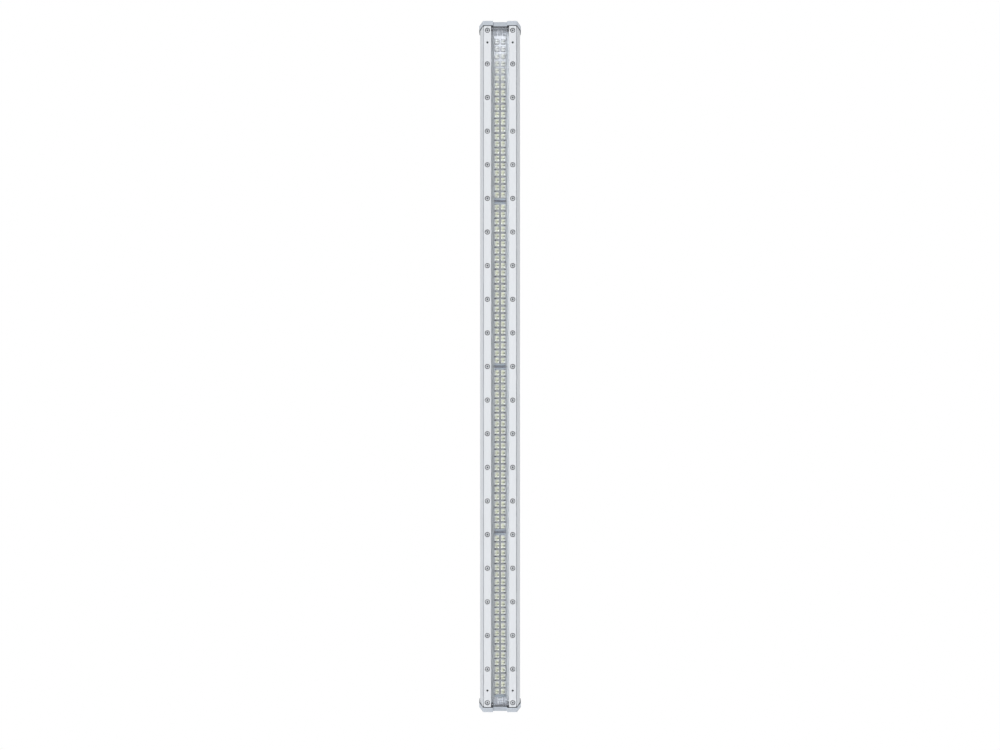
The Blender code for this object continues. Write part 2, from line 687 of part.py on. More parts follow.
def make_strips():
    """The two clamp strips, each held by a row of screws in a nut bar."""
    floor = STRIP_THICKNESS - HEAD_RECESS - HEAD_HEIGHT - SEAT_GAP
    openings = []
    for along in strip_screw_places():
        centre = (STRIP_SCREW_HALF, along)
        wide = ring(HEAD_RADIUS + COUNTERBORE_GAP, HEAD_SIDES, centre)
        narrow = ring(SHANK_RADIUS + SLOT_GAP, SHANK_SIDES, centre)
        openings.append([(STRIP_THICKNESS, wide), (floor, wide), (floor, narrow), (0, narrow)])
    for sign in (-1, 1):
        drain_place = (STRIP_SCREW_HALF, sign * (BODY_END_Z - DRAIN_HOLE_END_SPACE))
        drain = ring(DRAIN_HOLE_RADIUS, DRAIN_HOLE_SIDES, drain_place)
        openings.append([(STRIP_THICKNESS, drain), (0, drain)])
    corners = [
        (STRIP_IN_HALF, -BODY_END_Z, 0),
        (STRIP_OUT_HALF, -BODY_END_Z, STRIP_END_CUT),
        (STRIP_OUT_HALF, BODY_END_Z, STRIP_END_CUT),
        (STRIP_IN_HALF, BODY_END_Z, 0),
    ]
    strip_mesh = slab_mesh("clamp_strip", rounded(corners), 0, STRIP_THICKNESS, openings)

    head_seat = STRIP_FRONT + HEAD_RECESS + HEAD_HEIGHT
    bar_front = NUT_SHOULDER + SEAT_GAP
    shank = ring(SHANK_RADIUS, SHANK_SIDES)
    socket = ring(SOCKET_RADIUS, HEX_SIDES)
    screw = stepped_mesh(
        "strip_screw",
        [
            (head_seat - bar_front - NUT_BAR_THICKNESS / 2, shank),
            (0, shank),
            (0, ring(HEAD_RADIUS, HEAD_SIDES)),
            (HEAD_HEIGHT, ring(HEAD_TOP_RADIUS, HEAD_SIDES)),
            (HEAD_HEIGHT, socket),
            (HEAD_HEIGHT - SOCKET_DEPTH, socket),
        ],
    )
    row = bmesh.new()
    for along in strip_screw_places():
        start = len(row.verts)
        row.from_mesh(screw)
        row.verts.ensure_lookup_table()
        bmesh.ops.translate(row, vec=(STRIP_SCREW_HALF, along, 0), verts=row.verts[start:])
    row_mesh = bpy.data.meshes.new("strip_screws")
    row.to_mesh(row_mesh)
    row.free()
    bar = rectangle(NUT_BAR_HALF, BODY_END_Z - NUT_BAR_SHORTER, (STRIP_SCREW_HALF, 0))
    bar_height = head_seat - bar_front
    bar_mesh = slab_mesh("nut_bar", bar, bar_height - NUT_BAR_THICKNESS, bar_height)

    pieces = []
    for side, turn in (("right", FACING_ROOM), ("left", FACING_ROOM_MIRRORED)):
        back = (0, y_at(STRIP_FRONT + STRIP_THICKNESS), 0)
        pieces.append(add(f"clamp_strip_{side}", strip_mesh, STRIP_LOOK, turn, back))
        seat = (0, y_at(head_seat), 0)
        screws = add(f"strip_screws_{side}", bar_mesh.copy(), STEEL_LOOK, turn, seat)
        pieces += [screws, combine(screws, "UNION", f"strip_screw_row_{side}", row_mesh, turn, seat)]
    return pieces


def make_glazing():
    """The cover glass between its lower gasket and the two upper seals."""
    half_length = BODY_END_Z - GLASS_EDGE_GAP
    outline = rectangle(GLASS_HALF, half_length)
    opening = rectangle(GLASS_HALF - SEAL_WIDTH, half_length - SEAL_WIDTH)
    glass = slab_mesh("cover_glass", outline, 0, GLASS_THICKNESS)
    hole = [(SEAL_THICKNESS, opening), (0, opening)]
    gasket = slab_mesh("glass_gasket", outline, 0, SEAL_THICKNESS, [hole])
    seal_x = GLASS_HALF - SEAL_WIDTH / 2
    seal = slab_mesh("glass_seal", rectangle(SEAL_WIDTH / 2, half_length, (seal_x, 0)), 0, SEAL_THICKNESS)
    glass_back = GLASS_FRONT + GLASS_THICKNESS
    seal_back = (0, y_at(LAND_DEPTH + SEAL_THICKNESS), 0)
    return [
        add("cover_glass", glass, GLASS_LOOK, FACING_ROOM, (0, y_at(glass_back), 0)),
        add("glass_gasket", gasket, RUBBER_LOOK, FACING_ROOM, (0, y_at(LEDGE_DEPTH - SEAT_GAP), 0)),
        add("glass_seal_right", seal, RUBBER_LOOK, FACING_ROOM, seal_back),
        add("glass_seal_left", seal, RUBBER_LOOK, FACING_ROOM_MIRRORED, seal_back),
    ]


def led_centres():
    """The LEDs of one board, in two columns."""
    rows = [(k - (LED_ROWS - 1) / 2) * LED_ROW_PITCH for k in range(LED_ROWS)]
    return [(side * LED_COLUMN_HALF, row) for row in rows for side in (-1, 1)]


def make_modules():
    """Four LED boards end to end, each under its lens array, joined by links."""
    half_length = MODULE_LENGTH / 2
    leds = []
    lenses = []
    for centre in led_centres():
        package = rectangle(LED_HALF, LED_HALF, centre)
        leds.append([(BOARD_THICKNESS, package), (BOARD_THICKNESS + LED_HEIGHT, package)])
        base = rectangle(LENS_HALF_WIDTH, LENS_HALF_HEIGHT, centre)
        face = rectangle(LENS_HALF_WIDTH - LENS_DRAFT, LENS_HALF_HEIGHT - LENS_DRAFT, centre)
        lenses.append([(LENS_PLATE_THICKNESS, base), (LENS_PLATE_THICKNESS + LENS_RISE, face)])
    pin_x = LENS_PLATE_HALF - LENS_PIN_RADIUS - LENS_PIN_EDGE
    pin_y = half_length - LENS_PIN_INSET
    pins = []
    for x in (-pin_x, pin_x):
        for y in (-pin_y, pin_y):
            pin = ring(LENS_PIN_RADIUS, LENS_PIN_SIDES, (x, y))
            pins.append([(0, pin), (SEAT_GAP - LENS_PLATE_LIFT, pin)])
    board = slab_mesh("led_board", rectangle(BOARD_HALF, half_length), 0, BOARD_THICKNESS, leds)
    plate = rectangle(LENS_PLATE_HALF, half_length)
    array = slab_mesh("lens_array", plate, 0, LENS_PLATE_THICKNESS, lenses, pins)
    link = slab_mesh("board_link", rectangle(LINK_HALF_WIDTH, LINK_HALF_LENGTH), 0, LINK_HEIGHT)
    pieces = []
    for k in range(MODULES):
        middle = MODULE_PITCH * ((MODULES - 1) / 2 - k)
        place = (0, y_at(BOARD_BACK), middle)
        pieces.append(add(f"led_board_{k + 1}", board, BOARD_LOOK, FACING_ROOM, place))
        place = (0, y_at(BOARD_FRONT - LENS_PLATE_LIFT), middle)
        pieces.append(add(f"lens_array_{k + 1}", array, LENS_LOOK, FACING_ROOM, place))
        if k:
            place = (0, y_at(BOARD_FRONT - SEAT_GAP), middle + MODULE_PITCH / 2)
            pieces.append(add(f"board_link_{k}", link, NYLON_LOOK, FACING_ROOM, place))
    return pieces


def smooth_route(points, samples):
    """A Catmull-Rom curve through the points, as points of its own."""
    ends = [2 * points[0] - points[1]] + points + [2 * points[-1] - points[-2]]
    route = []
    for a, b, c, d in zip(ends, ends[1:], ends[2:], ends[3:]):
        for n in range(samples):
            t = n / samples
            bend = (2 * a - 5 * b + 4 * c - d) * t**2 + (3 * b - a - 3 * c + d) * t**3
            route.append((2 * b + (c - a) * t + bend) / 2)
    return route + [points[-1]]


def add_tube(name, points, radius, bevel_steps, samples, look):
    """A round lead along a smooth curve through the points."""
    curve = bpy.data.curves.new(name, "CURVE")
    curve.dimensions = "3D"
    route = smooth_route(points, samples)
    spline = curve.splines.new("POLY")
    spline.points.add(len(route) - 1)
    for point, place in zip(spline.points, route):
        point.co = (*place, 1)
    curve.bevel_depth = radius
    curve.bevel_resolution = bevel_steps
    curve.use_fill_caps = True
    return add(name, curve, look)


def lead_route(side, end):
    """From the board's end pad through the cap's pocket and back down to the driver."""
    board_end = MODULE_PITCH * MODULES / 2 - MODULE_GAP / 2
    pad_depth = BOARD_FRONT - LENS_PLATE_LIFT / 2
    top = CAP_INNER_Z + CAP_POCKET_DEPTH - LEAD_POCKET_GAP - LEAD_RADIUS
    bend_half = (LEAD_WALL_HALF + LEAD_DRIVER_HALF) / 2
    driver_end = BODY_END_Z - DRIVER_END_SPACE + SEAT_GAP
    stops = [
        (LEAD_BOARD_HALF, pad_depth, board_end - LEAD_PAD_OVERLAP),
        (LEAD_BOARD_HALF, pad_depth, board_end + LEAD_RUN / 2),
        ((LEAD_BOARD_HALF + LEAD_WALL_HALF) / 2, pad_depth, board_end + LEAD_RUN * 3 / 2),
        (LEAD_WALL_HALF, TROUGH_FLOOR - LEAD_RADIUS, CAP_INNER_Z),
        (LEAD_WALL_HALF, TROUGH_FLOOR + FLOOR_WALL / 2, top),
        (LEAD_WALL_HALF, FLOOR_BACK + LEAD_RUN, CAP_INNER_Z),
        (bend_half, LEAD_CHAMBER_DEPTH - LEAD_RUN / 2, CAP_INNER_Z - 2 * LEAD_RUN),
        (LEAD_DRIVER_HALF, LEAD_CHAMBER_DEPTH, CAP_INNER_Z - 4 * LEAD_RUN),
        (LEAD_DRIVER_HALF, LEAD_CHAMBER_DEPTH, driver_end),
    ]
    return [Vector((side * x, y_at(depth), end * z)) for x, depth, z in stops]


def make_supply():
    """The drivers in the rear chamber, their pads, and the leads."""
    pieces = []
    half_length = DRIVER_LENGTH / 2
    corners = [(*corner, DRIVER_CORNER) for corner in rectangle(DRIVER_HALF, half_length)]
    driver = slab_mesh("led_driver", rounded(corners), 0, DRIVER_THICKNESS)
    pad_outline = rectangle(DRIVER_PAD_HALF, half_length - DRIVER_PAD_SHORTER)
    pad = slab_mesh("driver_pad", pad_outline, 0, DRIVER_PAD_THICKNESS)
    middle = BODY_END_Z - DRIVER_END_SPACE - half_length
    for end, sign in (("top", 1), ("bottom", -1)):
        place = (0, y_at(DRIVER_BACK), sign * middle)
        pieces.append(add(f"led_driver_{end}", driver, DRIVER_LOOK, FACING_ROOM, place))
        place = (0, y_at(CHAMBER_BACK - SEAT_GAP), sign * middle)
        pieces.append(add(f"driver_pad_{end}", pad, PAD_LOOK, FACING_ROOM, place))
        for side, across in (("left", -1), ("right", 1)):
            route = lead_route(across, sign)
            name = f"lead_{end}_{side}"
            pieces.append(add_tube(name, route, LEAD_RADIUS, LEAD_BEVEL_STEPS, LEAD_SAMPLES, LEAD_LOOK))
    inner_end = middle - half_length - SEAT_GAP
    wall_depth = CHAMBER_BACK - LINK_LEAD_LIFT - LINK_LEAD_RADIUS
    stops = [
        (LEAD_CHAMBER_DEPTH, inner_end),
        (LEAD_CHAMBER_DEPTH, inner_end - LINK_LEAD_DROP / 2),
        (wall_depth, inner_end - 2 * LINK_LEAD_DROP),
        (wall_depth, inner_end - 3 * LINK_LEAD_DROP),
    ]
    stops += [(depth, -z) for depth, z in reversed(stops)]
    route = [Vector((LINK_LEAD_X, y_at(depth), z)) for depth, z in stops]
    name = "driver_link_lead"
    pieces.append(add_tube(name, route, LINK_LEAD_RADIUS, LINK_LEAD_BEVEL_STEPS, LEAD_SAMPLES, NYLON_LOOK))
    return pieces


def make_gland_and_vent():
    """The four pieces of the cable gland, and the breather vent."""
    thread = ring(GLAND_THREAD_RADIUS, GLAND_SIDES)
    bore = ring(GLAND_BORE_RADIUS, GLAND_SIDES)
    mouth = ring(GLAND_MOUTH_RADIUS, GLAND_SIDES)
    flange = ring(GLAND_FLANGE_RADIUS, HEX_SIDES)
    inner_end = -BACK_WALL - GLAND_INNER_LENGTH
    flange_top = SEAT_GAP + GLAND_FLANGE_THICKNESS
    neck_top = flange_top + GLAND_NECK_LENGTH
    mouth_floor = neck_top - GLAND_MOUTH_DEPTH
    body = ring_mesh(
        "gland_body",
        [
            (inner_end, thread),
            (SEAT_GAP, thread),
            (SEAT_GAP, flange),
            (flange_top, flange),
            (flange_top, thread),
            (neck_top, thread),
            (neck_top, mouth),
            (mouth_floor, mouth),
            (mouth_floor, bore),
            (inner_end, bore),
        ],
    )
    seal_low = mouth_floor + SEAT_GAP
    seal_high = seal_low + GLAND_SEAL_LENGTH
    seal_outer = ring(GLAND_MOUTH_RADIUS - SEAT_GAP, GLAND_SIDES)
    seal_bore = ring(GLAND_MOUTH_RADIUS - SEAT_GAP - GLAND_SEAL_WALL, GLAND_SIDES)
    seal = tube_mesh("gland_seal", seal_low, seal_high, seal_outer, seal_bore)
    nut_low = flange_top + SEAT_GAP
    nut_high = nut_low + GLAND_NUT_LENGTH
    roof = nut_high - GLAND_NUT_ROOF
    nut_hex = ring(GLAND_NUT_RADIUS, HEX_SIDES)
    nut_thread = ring(GLAND_THREAD_RADIUS + SEAT_GAP, GLAND_SIDES)
    nut_bore = ring(GLAND_NUT_BORE, GLAND_SIDES)
    nut = ring_mesh(
        "gland_nut",
        [
            (nut_low, nut_hex),
            (nut_high, nut_hex),
            (nut_high, ring(GLAND_DOME_BASE, GLAND_SIDES)),
            (nut_high + GLAND_DOME_LENGTH, ring(GLAND_DOME_RADIUS, GLAND_SIDES)),
            (nut_high + GLAND_DOME_LENGTH, nut_bore),
            (roof, nut_bore),
            (roof, nut_thread),
            (nut_low, nut_thread),
        ],
    )
    lock_high = -BACK_WALL - SEAT_GAP
    lock_low = lock_high - LOCKNUT_THICKNESS
    lock_hex = ring(LOCKNUT_RADIUS, HEX_SIDES)
    locknut = tube_mesh("gland_locknut", lock_low, lock_high, lock_hex, nut_thread)
    vent_thread = ring(VENT_THREAD_RADIUS, GLAND_SIDES)
    vent_flange = ring(VENT_FLANGE_RADIUS, HEX_SIDES)
    vent_cap = ring(VENT_CAP_RADIUS, GLAND_SIDES)
    vent_flange_top = SEAT_GAP + VENT_FLANGE_THICKNESS
    vent_top = vent_flange_top + VENT_CAP_HEIGHT
    vent = stepped_mesh(
        "breather_vent",
        [
            (-BACK_WALL - VENT_INNER_LENGTH, vent_thread),
            (SEAT_GAP, vent_thread),
            (SEAT_GAP, vent_flange),
            (vent_flange_top, vent_flange),
            (vent_flange_top, vent_cap),
            (vent_top - VENT_CAP_EDGE, vent_cap),
            (vent_top, ring(VENT_CAP_RADIUS - VENT_CAP_EDGE, GLAND_SIDES)),
        ],
    )
    gland_place = (0, y_at(BACK_DEPTH), GLAND_Z)
    return [
        add("gland_body", body, NYLON_LOOK, FACING_WALL, gland_place),
        add("gland_seal", seal, RUBBER_LOOK, FACING_WALL, gland_place),
        add("gland_nut", nut, NYLON_LOOK, FACING_WALL, gland_place),
        add("gland_locknut", locknut, NYLON_LOOK, FACING_WALL, gland_place),
        add("breather_vent", vent, NYLON_LOOK, FACING_WALL, (0, y_at(BACK_DEPTH), VENT_Z)),
    ]


def ear_mesh(name, root_y, low):
    """A plate with a round end about the pivot axis, its hole, and a square root at the given y."""
    start = 0 if root_y < -PIVOT_TO_WALL else math.pi
    turns = [start + math.pi * k / EAR_ARC_STEPS for k in range(EAR_ARC_STEPS + 1)]
    outline = [(EAR_RADIUS * math.cos(turn), EAR_RADIUS * math.sin(turn) - PIVOT_TO_WALL) for turn in turns]
    outline += [(outline[-1][0], root_y), (outline[0][0], root_y)]
    hole = ring(PIVOT_RADIUS + SEAT_GAP, PIVOT_SIDES, (0, -PIVOT_TO_WALL))
    high = low + EAR_THICKNESS
    return slab_mesh(name, outline, low, high, [[(high, hole), (low, hole)]])


def make_brackets():
    """The parts that ride on the lamp, and the parts that stay on the wall."""
    lip_back = BACK_DEPTH + RAIL_NECK_HEIGHT - SEAT_GAP
    lip_front = lip_back - SADDLE_LIP_THICKNESS
    head_side = RAIL_HEAD_HALF + SEAT_GAP
    lip_x = head_side - SADDLE_LIP_REACH
    plate_front = RAIL_BACK + SEAT_GAP
    saddle_section = [
        (SADDLE_WING_HALF, plate_front),
        (SADDLE_WING_HALF, SADDLE_BACK),
        (-head_side - SADDLE_HOOK, SADDLE_BACK),
        (-head_side - SADDLE_HOOK, lip_front),
        (-lip_x, lip_front),
        (-lip_x, lip_back),
        (-head_side, lip_back),
        (-head_side, plate_front),
    ]
    jaw_section = [
        (lip_x, lip_front),
        (SADDLE_WING_HALF, lip_front),
        (SADDLE_WING_HALF, plate_front - SEAT_GAP),
        (head_side, plate_front - SEAT_GAP),
        (head_side, lip_back),
        (lip_x, lip_back),
    ]
    saddle_outline = [(x, y_at(depth)) for x, depth in saddle_section]
    saddle_mesh = slab_mesh("rail_saddle", saddle_outline, -SADDLE_LENGTH / 2, SADDLE_LENGTH / 2)
    jaw_outline = [(x, y_at(depth)) for x, depth in jaw_section]
    jaw_mesh = slab_mesh("rail_jaw", jaw_outline, -JAW_LENGTH / 2, JAW_LENGTH / 2)
    bolt_hole = ring(JAW_BOLT_RADIUS + SEAT_GAP, SHANK_SIDES)
    bolt_cutter = slab_mesh("jaw_bolt_hole", bolt_hole, lip_front - SADDLE_BACK - CUT_OVERRUN, CUT_OVERRUN)
    bolt_shank = ring(JAW_BOLT_RADIUS, SHANK_SIDES)
    bolt_head = ring(JAW_BOLT_HEAD_RADIUS, HEX_SIDES)
    jaw_bolt_mesh = stepped_mesh(
        "jaw_bolt",
        [
            (lip_front - SADDLE_BACK, bolt_shank),
            (SEAT_GAP, bolt_shank),
            (SEAT_GAP, bolt_head),
            (SEAT_GAP + JAW_BOLT_HEAD_HEIGHT, bolt_head),
        ],
    )
    between = WASHER_THICKNESS / 2 + SEAT_GAP
    saddle_ear = ear_mesh("saddle_ear", y_at(SADDLE_BACK - SADDLE_PLATE / 2), between)
    foot_ear = ear_mesh("foot_ear", -FOOT_PLATE / 2, -between - EAR_THICKNESS)
    plate_corners = [(*corner, FOOT_CORNER) for corner in rectangle(FOOT_HALF_WIDTH, FOOT_HALF_LENGTH)]
    foot_holes = []
    for along in (-FOOT_HOLE_Z, FOOT_HOLE_Z):
        hole = ring(FOOT_HOLE_RADIUS, FOOT_HOLE_SIDES, (0, along))
        foot_holes.append([(FOOT_PLATE, hole), (0, hole)])
    foot_mesh = slab_mesh("wall_foot", rounded(plate_corners), 0, FOOT_PLATE, foot_holes)
    shank = ring(PIVOT_RADIUS, PIVOT_SIDES)
    bolt_hex = ring(PIVOT_HEAD_RADIUS, HEX_SIDES)
    outer_face = between + EAR_THICKNESS + SEAT_GAP
    nut_top = outer_face + PIVOT_NUT_HEIGHT
    pivot_bolt = stepped_mesh(
        "pivot_bolt",
        [
            (-outer_face - PIVOT_HEAD_HEIGHT, bolt_hex),
            (-outer_face, bolt_hex),
            (-outer_face, shank),
            (nut_top + PIVOT_THREAD_SHOW, shank),
        ],
    )
    bore = ring(PIVOT_RADIUS + SEAT_GAP, PIVOT_SIDES)
    pivot_nut = tube_mesh("pivot_nut", outer_face, nut_top, bolt_hex, bore)
    washer = ring(WASHER_RADIUS, PIVOT_SIDES)
    half_washer = WASHER_THICKNESS / 2
    pivot_washer = tube_mesh("pivot_washer", -half_washer, half_washer, washer, bore)

    on_lamp = []
    for name, height in (("upper", BRACKET_Z), ("lower", -BRACKET_Z)):
        saddle = add(f"rail_saddle_{name}", saddle_mesh, STEEL_LOOK, UNTURNED, (0, 0, height))
        jaw = add(f"rail_jaw_{name}", jaw_mesh, STEEL_LOOK, UNTURNED, (0, 0, height + JAW_Z))
        bolt_place = (JAW_BOLT_X, y_at(SADDLE_BACK), height + JAW_Z)
        helpers = [
            combine(saddle, "UNION", f"saddle_ear_{name}", saddle_ear, UNTURNED, (0, 0, height)),
            combine(saddle, "DIFFERENCE", f"saddle_hole_{name}", bolt_cutter, FACING_WALL, bolt_place),
            combine(jaw, "DIFFERENCE", f"jaw_hole_{name}", bolt_cutter, FACING_WALL, bolt_place),
        ]
        bolt = add(f"jaw_bolt_{name}", jaw_bolt_mesh, STEEL_LOOK, FACING_WALL, bolt_place)
        on_lamp += [saddle, jaw, bolt] + helpers

        foot = add(f"wall_foot_{name}", foot_mesh, STEEL_LOOK, FACING_ROOM, (0, 0, height))
        combine(foot, "UNION", f"foot_ear_{name}", foot_ear, UNTURNED, (0, 0, height))
        on_axis = (0, -PIVOT_TO_WALL, height)
        add(f"pivot_bolt_{name}", pivot_bolt, STEEL_LOOK, UNTURNED, on_axis)
        add(f"pivot_nut_{name}", pivot_nut, STEEL_LOOK, UNTURNED, on_axis)
        add(f"pivot_washer_{name}", pivot_washer, STEEL_LOOK, UNTURNED, on_axis)
    return on_lamp


def clear_scene():
    """Removes whatever the startup scene holds."""
    for thing in list(bpy.data.objects):
        bpy.data.objects.remove(thing, do_unlink=True)


def main():
    """Makes every piece, and hangs those of the lamp on its pivot axis."""
    clear_scene()
    lamp = make_housing() + make_ends() + make_strips() + make_glazing()
    lamp += make_modules() + make_supply() + make_gland_and_vent() + make_brackets()
    pivot = bpy.data.objects.new("lamp_pivot", None)
    bpy.context.scene.collection.objects.link(pivot)
    pivot.location = (0, -PIVOT_TO_WALL, 0)
    for piece in lamp:
        piece.parent = pivot
        piece.matrix_parent_inverse = Matrix.Translation(pivot.location).inverted()


main()
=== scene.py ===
import math

import bpy
import numpy as np
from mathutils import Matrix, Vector


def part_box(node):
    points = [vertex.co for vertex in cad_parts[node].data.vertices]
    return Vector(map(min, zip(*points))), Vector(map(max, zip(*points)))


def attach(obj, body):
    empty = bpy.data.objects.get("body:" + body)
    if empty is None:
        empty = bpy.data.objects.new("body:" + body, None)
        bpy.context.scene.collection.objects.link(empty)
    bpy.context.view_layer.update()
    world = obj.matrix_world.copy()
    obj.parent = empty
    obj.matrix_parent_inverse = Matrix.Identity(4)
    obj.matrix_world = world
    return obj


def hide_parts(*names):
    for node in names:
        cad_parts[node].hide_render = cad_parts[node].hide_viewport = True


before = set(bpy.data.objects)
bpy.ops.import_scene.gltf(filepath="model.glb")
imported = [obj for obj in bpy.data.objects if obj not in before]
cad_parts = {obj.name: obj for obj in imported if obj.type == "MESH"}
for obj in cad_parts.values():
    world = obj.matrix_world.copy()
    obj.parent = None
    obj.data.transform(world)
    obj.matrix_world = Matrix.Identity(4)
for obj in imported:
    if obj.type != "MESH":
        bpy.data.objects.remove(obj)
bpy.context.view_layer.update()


# Camera. It looks straight at the window from 1.94 m in front of the end caps, a little below the lamp's middle.
# One pixel is 1.736 mm at the front plane, and the picture is 1000 pixels wide.
MM = 0.001
front_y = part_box("end_cap_top")[0].y
CAMERA_DISTANCE = 1.94
PIXEL = 1.736 * MM
PICTURE_WIDTH = 1000
PIXELS_ASIDE, PIXELS_UP = -0.05, -8.5
SENSOR_WIDTH = 36
camera = bpy.data.objects.new("camera", bpy.data.cameras.new("camera"))
camera.data.sensor_width = SENSOR_WIDTH
camera.data.lens = SENSOR_WIDTH * CAMERA_DISTANCE / (PICTURE_WIDTH * PIXEL)
camera.data.clip_start = 0.05
camera.data.clip_end = 50
camera.location = (PIXELS_ASIDE * PIXEL, front_y - CAMERA_DISTANCE, PIXELS_UP * PIXEL)
camera.rotation_euler = (math.radians(90), 0, 0)
bpy.context.scene.collection.objects.link(camera)
bpy.context.scene.camera = camera
bpy.context.scene.view_settings.view_transform = "Standard"


# Studio. Large soft lamps, an even pale surround, and a pale floor well below the lamp that keeps its shadow.
# The main lamp hangs high in front on the left, two weak ones fill in from the right and from below, and the
# side lamps stand lower, as the light in the photograph does.
def feed(tree, socket, value):
    """Links a socket to another one, or sets it to a plain value."""
    if isinstance(value, bpy.types.NodeSocket):
        tree.links.new(value, socket)
    else:
        socket.default_value = value


def node(tree, kind, inputs=(), **settings):
    """A node with the given settings, its inputs fed by name or number."""
    made = tree.nodes.new(kind)
    for name, value in settings.items():
        setattr(made, name, value)
    for key, value in dict(inputs).items():
        feed(tree, made.inputs[key], value)
    return made


def arithmetic(tree, operation, first, second):
    """The result of a Math node on two values."""
    return node(tree, "ShaderNodeMath", {0: first, 1: second}, operation=operation).outputs[0]


def seen_directly(tree):
    """1 for camera, glossy and transmission rays, which see the white background, and 0 for the rest."""
    rays = node(tree, "ShaderNodeLightPath").outputs
    seen = arithmetic(tree, "MAXIMUM", rays["Is Camera Ray"], rays["Is Glossy Ray"])
    return arithmetic(tree, "MAXIMUM", seen, rays["Is Transmission Ray"])


AMBIENT = 0.45
world = bpy.data.worlds.new("studio")
bpy.context.scene.world = world
world.use_nodes = True
backdrop = world.node_tree.nodes["Background"]
backdrop.inputs["Color"].default_value = (1, 1, 1, 1)
strength = node(world.node_tree, "ShaderNodeMapRange", {"Value": seen_directly(world.node_tree), "To Min": AMBIENT})
feed(world.node_tree, backdrop.inputs["Strength"], strength.outputs["Result"])


def soft_lamp(name, place, aim, width, height, power, mirrored=True):
    """A rectangular soft lamp at a place, turned towards the point it is aimed at, mirrored in glossy pieces or not."""
    data = bpy.data.lights.new(name, "AREA")
    data.shape = "RECTANGLE"
    data.size = width
    data.size_y = height
    data.energy = power
    lamp = bpy.data.objects.new(name, data)
    toward = Vector(aim) - Vector(place)
    lamp.location = place
    lamp.visible_glossy = mirrored
    lamp.rotation_euler = toward.to_track_quat("-Z", "Y").to_euler()
    bpy.context.scene.collection.objects.link(lamp)


soft_lamp("front_left_lamp", (-0.8, -2.9, 1.5), (0, 0, 0.35), 1.2, 1.4, 32, mirrored=False)
soft_lamp("front_right_lamp", (0.75, -2.9, 0.5), (0, 0, 0.0), 0.8, 1.4, 7, mirrored=False)
soft_lamp("low_lamp", (-0.5, -2.6, -1.3), (0, -0.1, -0.3), 0.5, 0.8, 8, mirrored=False)
soft_lamp("left_lamp", (-2.6, -0.95, -0.5), (0, -0.05, -0.1), 1.2, 1.8, 26)
soft_lamp("right_lamp", (2.6, -0.95, -0.5), (0, -0.05, -0.1), 1.2, 1.8, 24)
soft_lamp("back_lamp", (0.9, 2.6, 1.6), (0, 0, 0), 1.8, 1.4, 32, mirrored=False)

# The camera sees the floor's own white: a share of it in the middle, where the shadow lies, and all at the rim.
FLOOR_Z, FLOOR_RADIUS, FLOOR_WHITE = -1.4, 2.0, 1.15
MIDDLE_RADIUS, MIDDLE_SHARE = 0.5, 0.6
edge = np.linspace(0, 2 * np.pi, 96, endpoint=False)
rim = np.stack([FLOOR_RADIUS * np.cos(edge), FLOOR_RADIUS * np.sin(edge), 0 * edge + FLOOR_Z], axis=-1)
floor_mesh = bpy.data.meshes.new("floor")
floor_mesh.from_pydata(rim.tolist(), [], [list(range(len(rim)))])
floor = bpy.data.objects.new("floor", floor_mesh)
bpy.context.scene.collection.objects.link(floor)
pale = bpy.data.materials.new("pale_floor")
pale.use_nodes = True
tree = pale.node_tree
matt = tree.nodes["Principled BSDF"]
matt.inputs["Base Color"].default_value = (0.8, 0.8, 0.8, 1)
matt.inputs["Roughness"].default_value = 0.9
white = node(tree, "ShaderNodeEmission", {"Color": (1, 1, 1, 1), "Strength": FLOOR_WHITE})
flat = node(
    tree,
    "ShaderNodeVectorMath",
    {0: node(tree, "ShaderNodeTexCoord").outputs["Object"], 1: (1, 1, 0)},
    operation="MULTIPLY",
)
outwards = node(tree, "ShaderNodeVectorMath", {0: flat.outputs[0]}, operation="LENGTH")
fade = node(
    tree,
    "ShaderNodeMapRange",
    {"Value": outwards.outputs["Value"], "From Min": MIDDLE_RADIUS, "From Max": FLOOR_RADIUS, "To Min": MIDDLE_SHARE},
)
share = arithmetic(tree, "MULTIPLY", seen_directly(tree), fade.outputs[0])
both = node(tree, "ShaderNodeMixShader", {0: share, 1: matt.outputs[0], 2: white.outputs[0]})
feed(tree, tree.nodes["Material Output"].inputs["Surface"], both.outputs[0])
floor_mesh.materials.append(pale)


# Housing. One aluminium extrusion with the trough for the LEDs, a ledge for the glass, a channel for the nut bar
# on each side, grooved sides that shed heat and a T-shaped rail on its back. It is cut, drilled for the gland and
# the vent, and powder-coated silver grey.
SHARP_ANGLE = math.radians(35)
# A direction is given as the three axes that a piece's own x, y and height become.
UPWARDS = ((1, 0, 0), (0, 1, 0), (0, 0, 1))
TO_WALL = ((-1, 0, 0), (0, 0, 1), (0, 1, 0))


